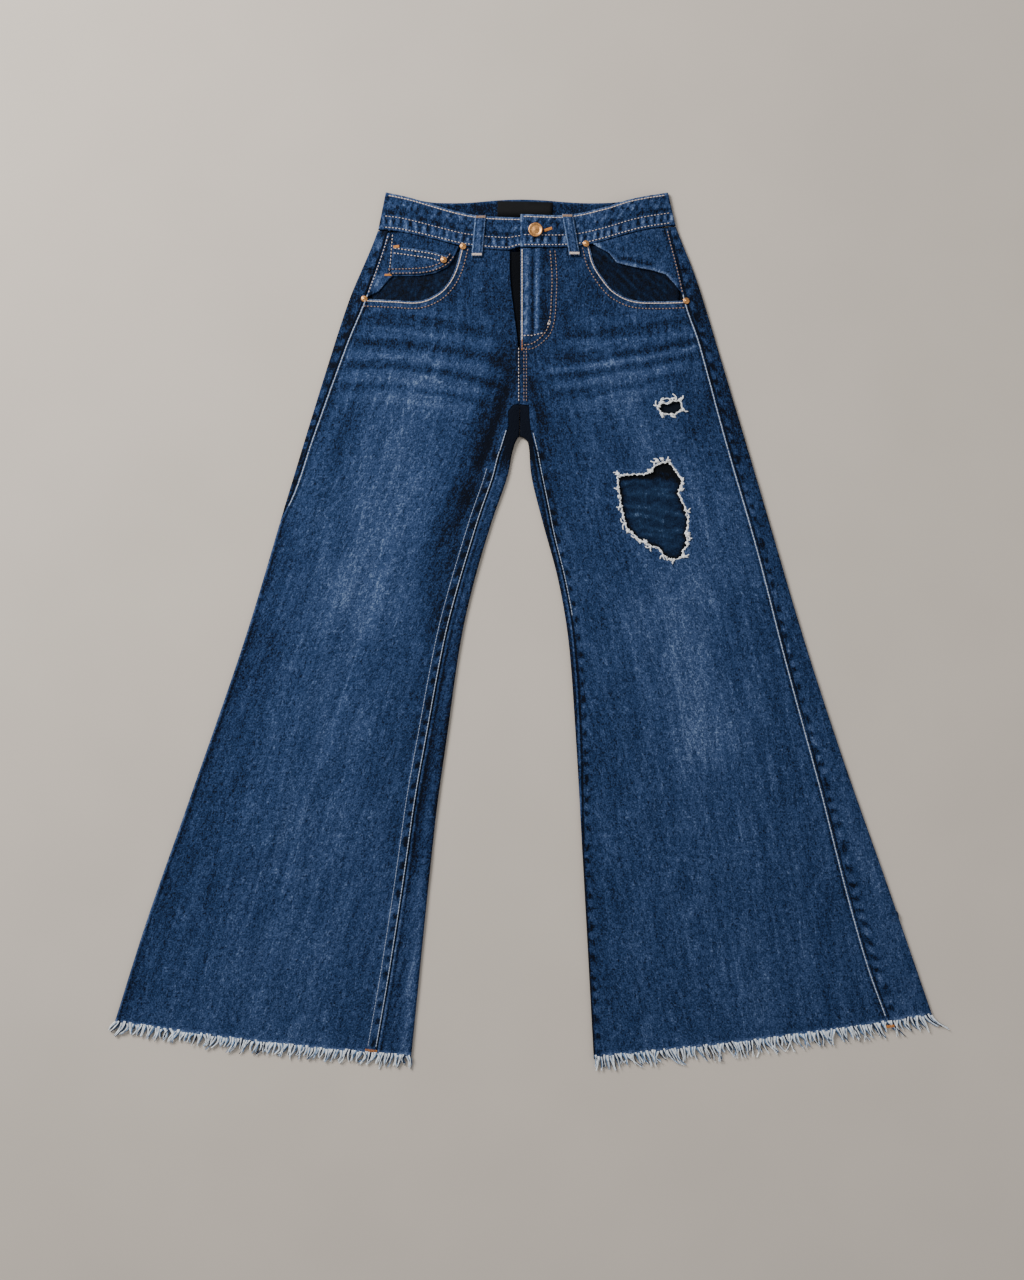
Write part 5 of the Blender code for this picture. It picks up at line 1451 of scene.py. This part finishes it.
# Loose threads and knots round the rips
fray = {"spacing": 0.0075, "radius": 0.00056, "reach": 0.0028, "ropeRadius": 0.00064, "ropes": 2,
        "knotReach": 0.0025, "knotThreads": 9, "knotThicker": 1.7, "looseThreads": 2, "looseThicker": 1.5,
        "ropeWander": 0.00072, "ropeThin": 0.35, "ropeFat": 1.80, "ropeStep": 0.0016}
knots = {"large": [(0.1115, 0.1885, 1.3), (0.1493, 0.1920, 1.4), (0.1575, 0.2035, 0.9), (0.1634, 0.2060, 1.0),
                   (0.1870, 0.1700, 1.1), (0.1878, 0.1770, 0.8), (0.1941, 0.1174, 1.3), (0.1940, 0.1060, 1.1),
                   (0.1890, 0.0905, 0.8), (0.1745, 0.0870, 0.8), (0.1230, 0.1215, 1.2), (0.1440, 0.1085, 1.4),
                   (0.1375, 0.1085, 1.0), (0.1128, 0.1620, 1.0), (0.1150, 0.1500, 0.9),
                   (0.1180, 0.1370, 0.9)],
         "small": [(0.1590, 0.2680, 0.9), (0.1640, 0.2730, 0.8), (0.1850, 0.2760, 1.0), (0.1885, 0.2640, 0.9),
                   (0.1750, 0.2580, 0.8), (0.1640, 0.2590, 0.8)]}


def curl(spot, way, length, height, radius):
    side = Vector((-way.y, way.x))
    bend, twist = rng.uniform(-1.4, 1.4), rng.uniform(0, 6.28)
    strand = []
    for step in range(7):
        part = step / 6
        flat = spot + way * length * part * math.cos(bend * part)
        flat += side * length * part * math.sin(bend * part)
        flat += side * 0.0005 * math.sin(part * 7.0 + twist)
        z = height + 0.0009 * math.sin(part * 3.1) + 0.0003 * math.sin(part * 9 + twist)
        strand.append((flat.x, flat.y, z, radius * (1.0 - 0.20 * part)))
    return strand


def ropeRound(outline):
    # Threads pulled tight along the edge, with a wandering height and width
    strands = []
    closed = [Vector(point) for point in outline + outline[:2]]
    for turn in range(fray["ropes"]):
        strand = []
        for a, b in zip(closed, closed[1:]):
            side = Vector((-(b - a).y, (b - a).x)).normalized()
            steps = max(2, int((b - a).length / fray["ropeStep"]))
            for index in range(steps):
                spot = a.lerp(b, index / steps) + side * rng.gauss(0.0, fray["ropeWander"])
                z = float(onFront(spot.x, spot.y)) + rng.uniform(-0.0005, 0.0006)
                thick = fray["ropeRadius"] * rng.uniform(fray["ropeThin"], fray["ropeFat"])
                strand.append((spot.x, spot.y, z, thick))
        strands.append(strand)
    return strands


def frayRound(outline, longSpots, knotSpots):
    strands = ropeRound(outline)
    closed = [Vector(point) for point in outline + outline[:1]]
    for a, b in zip(closed, closed[1:]):
        way = (b - a).normalized()
        side = Vector((-way.y, way.x))
        for index in range(max(1, int((b - a).length / fray["spacing"]))):
            spot = a.lerp(b, rng.random())
            heading = (side * rng.choice((-1.0, 1.0)) + way * rng.uniform(-1.0, 1.0)).normalized()
            length = fray["reach"] * rng.uniform(0.35, 1.15)
            height = float(onFront(spot.x, spot.y)) + 0.0001
            strands.append(curl(spot - heading * 0.0008, heading, length, height, fray["radius"]))
    for x, y, size in knotSpots:
        height = float(onFront(x, y)) + 0.0004
        for turn in range(fray["knotThreads"]):
            heading = Vector((rng.gauss(0, 1), rng.gauss(0, 1))).normalized()
            spot = Vector((x, y)) - heading * fray["knotReach"] * size / 2
            thick = fray["radius"] * fray["knotThicker"]
            strands.append(curl(spot, heading, fray["knotReach"] * size, height, thick))
    for x, y, headX, headY, length in longSpots:
        spot, heading = Vector((x, y)), Vector((headX, headY)).normalized()
        for turn in range(fray["looseThreads"]):
            bent = (heading + Vector((rng.gauss(0, 0.2), rng.gauss(0, 0.2)))).normalized()
            strands.append(curl(spot, bent, length * rng.uniform(0.55, 0.85), float(onFront(x, y)) + 0.0004,
                                fray["radius"] * fray["looseThicker"]))
    return strands


largeLong = [(0.1122, 0.1870, -0.3, 0.9, 0.008), (0.1550, 0.1985, -0.4, 0.9, 0.009),
             (0.1600, 0.2020, 0.0, 1.0, 0.009), (0.1690, 0.2024, 0.3, 1.0, 0.009),
             (0.1870, 0.1800, 1.0, 0.4, 0.008), (0.1925, 0.1445, 1.0, 0.1, 0.007),
             (0.1945, 0.1140, 1.0, -0.2, 0.007), (0.1890, 0.0930, 0.8, -0.8, 0.008),
             (0.1780, 0.0878, 0.1, -1.0, 0.009), (0.1650, 0.0930, -0.6, -0.9, 0.008),
             (0.1500, 0.1030, -0.4, -1.0, 0.008), (0.1330, 0.1140, -0.6, -0.7, 0.010),
             (0.1200, 0.1300, -0.9, -0.3, 0.009), (0.1150, 0.1500, -1.0, 0.0, 0.008),
             (0.1120, 0.1700, -1.0, 0.2, 0.007)]
smallLong = [(0.1587, 0.2680, -1.0, 0.3, 0.009), (0.1622, 0.2732, -0.4, 1.0, 0.007),
             (0.1740, 0.2735, -0.1, 1.0, 0.009), (0.1800, 0.2750, 0.2, 1.0, 0.010),
             (0.1850, 0.2755, 0.8, 0.7, 0.008), (0.1882, 0.2637, 1.0, -0.3, 0.008),
             (0.1750, 0.2580, 0.2, -1.0, 0.007), (0.1625, 0.2590, -0.2, -1.0, 0.007)]
frayStrands = frayRound(largeRip, largeLong, knots["large"]) + frayRound(smallRip, smallLong, knots["small"])
threadPiece("ripThreads", frayStrands, "white", 0)
print("stage: rips frayed")


# Button and rivets
hardware = {"buttonRadius": 0.0085, "rivetRadius": 0.0040, "buttonPlace": (0.0140, 0.4740),
            "buttonTilt": 0.03, "buttonSteps": 48, "rivetSteps": 24}
overBand, overCloth, overCoin = cloth["band"] / 2, cloth["denim"] / 2, cloth["over"] + cloth["lining"] / 2
rivets = {"right_inner": ((-0.0713, 0.4560), rightBandHeight, overBand),
          "right_outer": ((-0.1880, 0.3950), frontHeight, overCloth),
          "left_inner": ((0.0735, 0.4590), leftBandHeight, overBand),
          "left_outer": ((0.1920, 0.3925), frontHeight, overCloth),
          "coin": ((-0.0940, 0.4400), frontHeight, overCoin)}


def turnedPiece(name, profile, steps, place, tilt, node):
    bm = bmesh.new()
    verts = [bm.verts.new((radius, 0.0, height)) for radius, height in profile]
    edges = [bm.edges.new(pair) for pair in zip(verts, verts[1:])]
    bmesh.ops.spin(bm, geom=verts + edges, cent=(0, 0, 0), axis=(0, 0, 1), angle=math.tau, steps=steps,
                   use_merge=True)
    bmesh.ops.remove_doubles(bm, verts=bm.verts[:], dist=0.00001)
    bmesh.ops.recalc_face_normals(bm, faces=bm.faces[:])
    for vert in bm.verts:
        vert.co.z += tilt * vert.co.x
        vert.co += Vector(place)
    for face in bm.faces:
        face.smooth = True
    mesh = bpy.data.meshes.new(name)
    bm.to_mesh(mesh)
    bm.free()
    placePiece(name, mesh, ["copper"], [node])


radius = hardware["buttonRadius"]
buttonProfile = [(0.0, 0.0031), (radius * 0.20, 0.0032), (radius * 0.34, 0.0028), (radius * 0.50, 0.0030),
                 (radius * 0.62, 0.0027), (radius * 0.74, 0.0034), (radius * 0.86, 0.0039),
                 (radius * 0.95, 0.0036), (radius, 0.0028), (radius * 0.97, 0.0020), (radius * 0.88, 0.0013),
                 (radius * 0.42, 0.0010), (radius * 0.36, 0.0), (0.0, 0.0)]
x, y = hardware["buttonPlace"]
seat = float(leftBandHeight(x, y)) + overBand + cloth["gap"] * 1.5
turnedPiece("waistButton", buttonProfile, hardware["buttonSteps"], (x, y, seat), hardware["buttonTilt"],
            "button")
radius = hardware["rivetRadius"]
rivetProfile = [(0.0, 0.0017), (radius * 0.22, 0.0016), (radius * 0.38, 0.0011), (radius * 0.50, 0.0007),
                (radius * 0.72, 0.0009), (radius * 0.90, 0.0007), (radius, 0.0), (0.0, 0.0)]
for name, ((x, y), high, above) in rivets.items():
    seat = float(high(x, y) + fineRelief(x, y)) + cloth["gap"] * 1.5 + above
    pieceName = f"rivet{name.title().replace('_', '')}"
    turnedPiece(pieceName, rivetProfile, hardware["rivetSteps"], (x, y, seat), 0.0, f"rivet_{name}")
print("stage: button and rivets made")

# The cut of each cloth piece: width and length of its blank, its flat area, what it lies on and what is
# sewn to it. The leg backs are wider than the fronts, because they come round the folded edges.
cuts = {
    "frontClothRight": (0.360, 0.960, 0.2266, ["backClothRight"], ["rivetRightInner", "rivetRightOuter"]),
    "frontClothLeft": (0.370, 0.960, 0.2350, ["backClothLeft", "ripPatch"],
                       ["rivetLeftInner", "rivetLeftOuter", "ripThreads",
                        *(f"{name}Stitches" for name in sewing)]),
    "backClothRight": (0.440, 0.940, 0.2700, ["floor"], []),
    "backClothLeft": (0.470, 0.940, 0.3044, ["floor"], []),
    "yokeClothRight": (0.190, 0.085, 0.0101, ["floor"], []),
    "yokeClothLeft": (0.200, 0.085, 0.0116, ["floor"], []),
    "bandClothRight": (0.195, 0.047, 0.0080, ["bandClothBack"], []),
    "bandClothLeft": (0.180, 0.045, 0.0070, ["bandClothBack", "bandClothRight"], ["waistButton"]),
    "bandClothBack": (0.345, 0.046, 0.0139, ["floor"], []),
    "pocketFacingRight": (0.110, 0.072, 0.0041, ["pocketBagRight", "backClothRight"], []),
    "pocketFacingLeft": (0.110, 0.072, 0.0036, ["pocketBagLeft", "backClothLeft"], []),
    "pocketBagRight": (0.111, 0.075, 0.0054, ["backClothRight"], []),
    "pocketBagLeft": (0.110, 0.082, 0.0062, ["backClothLeft"], []),
    "coinPocket": (0.0675, 0.033, 0.0017, ["pocketFacingRight"], ["rivetCoin"]),
    "flyFacing": (0.0363, 0.1135, 0.0039, ["flyShield"], []),
    "flyShield": (0.049, 0.1065, 0.0052, ["backClothRight", "backClothLeft"], []),
    "ripPatch": (0.111, 0.142, 0.0139, ["backClothLeft"], []),
    "labelTape": (0.0655, 0.0205, 0.0013, ["bandClothBack"], []),
    "beltLoopFrontRight": (0.0125, 0.049, None, ["bandClothRight"], []),
    "beltLoopFrontLeft": (0.0125, 0.049, None, ["bandClothLeft"], []),
    "beltLoopBackRight": (0.0126, 0.044, None, ["floor"], []),
    "beltLoopBackCentre": (0.0126, 0.051, None, ["floor"], []),
    "beltLoopBackLeft": (0.0126, 0.043, None, ["floor"], []),
    "backPocketRight": (0.132, 0.144, 0.0163, ["floor"], []),
    "backPocketLeft": (0.132, 0.144, 0.0163, ["floor"], [])}
for name, (width, length, area, under, sewnOn) in cuts.items():
    ending = (name[0].upper() + name[1:]).replace("Cloth", "")
    sewnOn += [item.name for item in bpy.data.objects
               if item.name.startswith("fringe") and item.name.endswith(ending)]

# Floor, light and camera
studio = {"floor": (0.54, 0.475, 0.405), "keyPower": 92.0, "keySize": 1.0, "fillPower": 9.0, "fillSize": 2.0,
          "keyPlace": (-1.5, 1.4, 1.6), "fillPlace": (1.6, -0.6, 1.8), "sky": 0.44,
          "skyColour": (0.93, 0.96, 1.0, 1.0), "floorHalf": 6.0, "floorDrop": 0.0002, "lens": 50.0,
          "cameraPlace": (-0.0136, -0.0077, 2.105)}


def studioLight(name, place, power, size):
    # Aimed at the origin
    lamp = bpy.data.lights.new(name, "AREA")
    lamp.energy = power
    lamp.size = size
    made = bpy.data.objects.new(name, lamp)
    bpy.context.scene.collection.objects.link(made)
    made.location = place
    made.rotation_euler = (-Vector(place)).to_track_quat("-Z", "Y").to_euler()


floorMesh = bpy.data.meshes.new("floor")
bm = bmesh.new()
bmesh.ops.create_grid(bm, x_segments=1, y_segments=1, size=studio["floorHalf"])
bm.to_mesh(floorMesh)
bm.free()
floorMesh.materials.append(plainMaterial("floorPaint", studio["floor"], 0.8, 0.0, 0.02, 6.0))
floor = bpy.data.objects.new("floor", floorMesh)
floor.location.z = -studio["floorDrop"]
bpy.context.scene.collection.objects.link(floor)
studioLight("key", studio["keyPlace"], studio["keyPower"], studio["keySize"])
studioLight("fill", studio["fillPlace"], studio["fillPower"], studio["fillSize"])
world = bpy.data.worlds.new("studio")
world.use_nodes = True
world.node_tree.nodes["Background"].inputs["Color"].default_value = studio["skyColour"]
world.node_tree.nodes["Background"].inputs["Strength"].default_value = studio["sky"]
bpy.context.scene.world = world
cameraData = bpy.data.cameras.new("camera")
cameraData.lens = studio["lens"]
camera = bpy.data.objects.new("camera", cameraData)
camera.location = studio["cameraPlace"]
bpy.context.scene.collection.objects.link(camera)
bpy.context.scene.camera = camera
floor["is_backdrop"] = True
print("stage: studio made")

low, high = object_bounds()
{"cad": [list(cadLow), list(cadHigh)], "visual": [list(low), list(high)]}
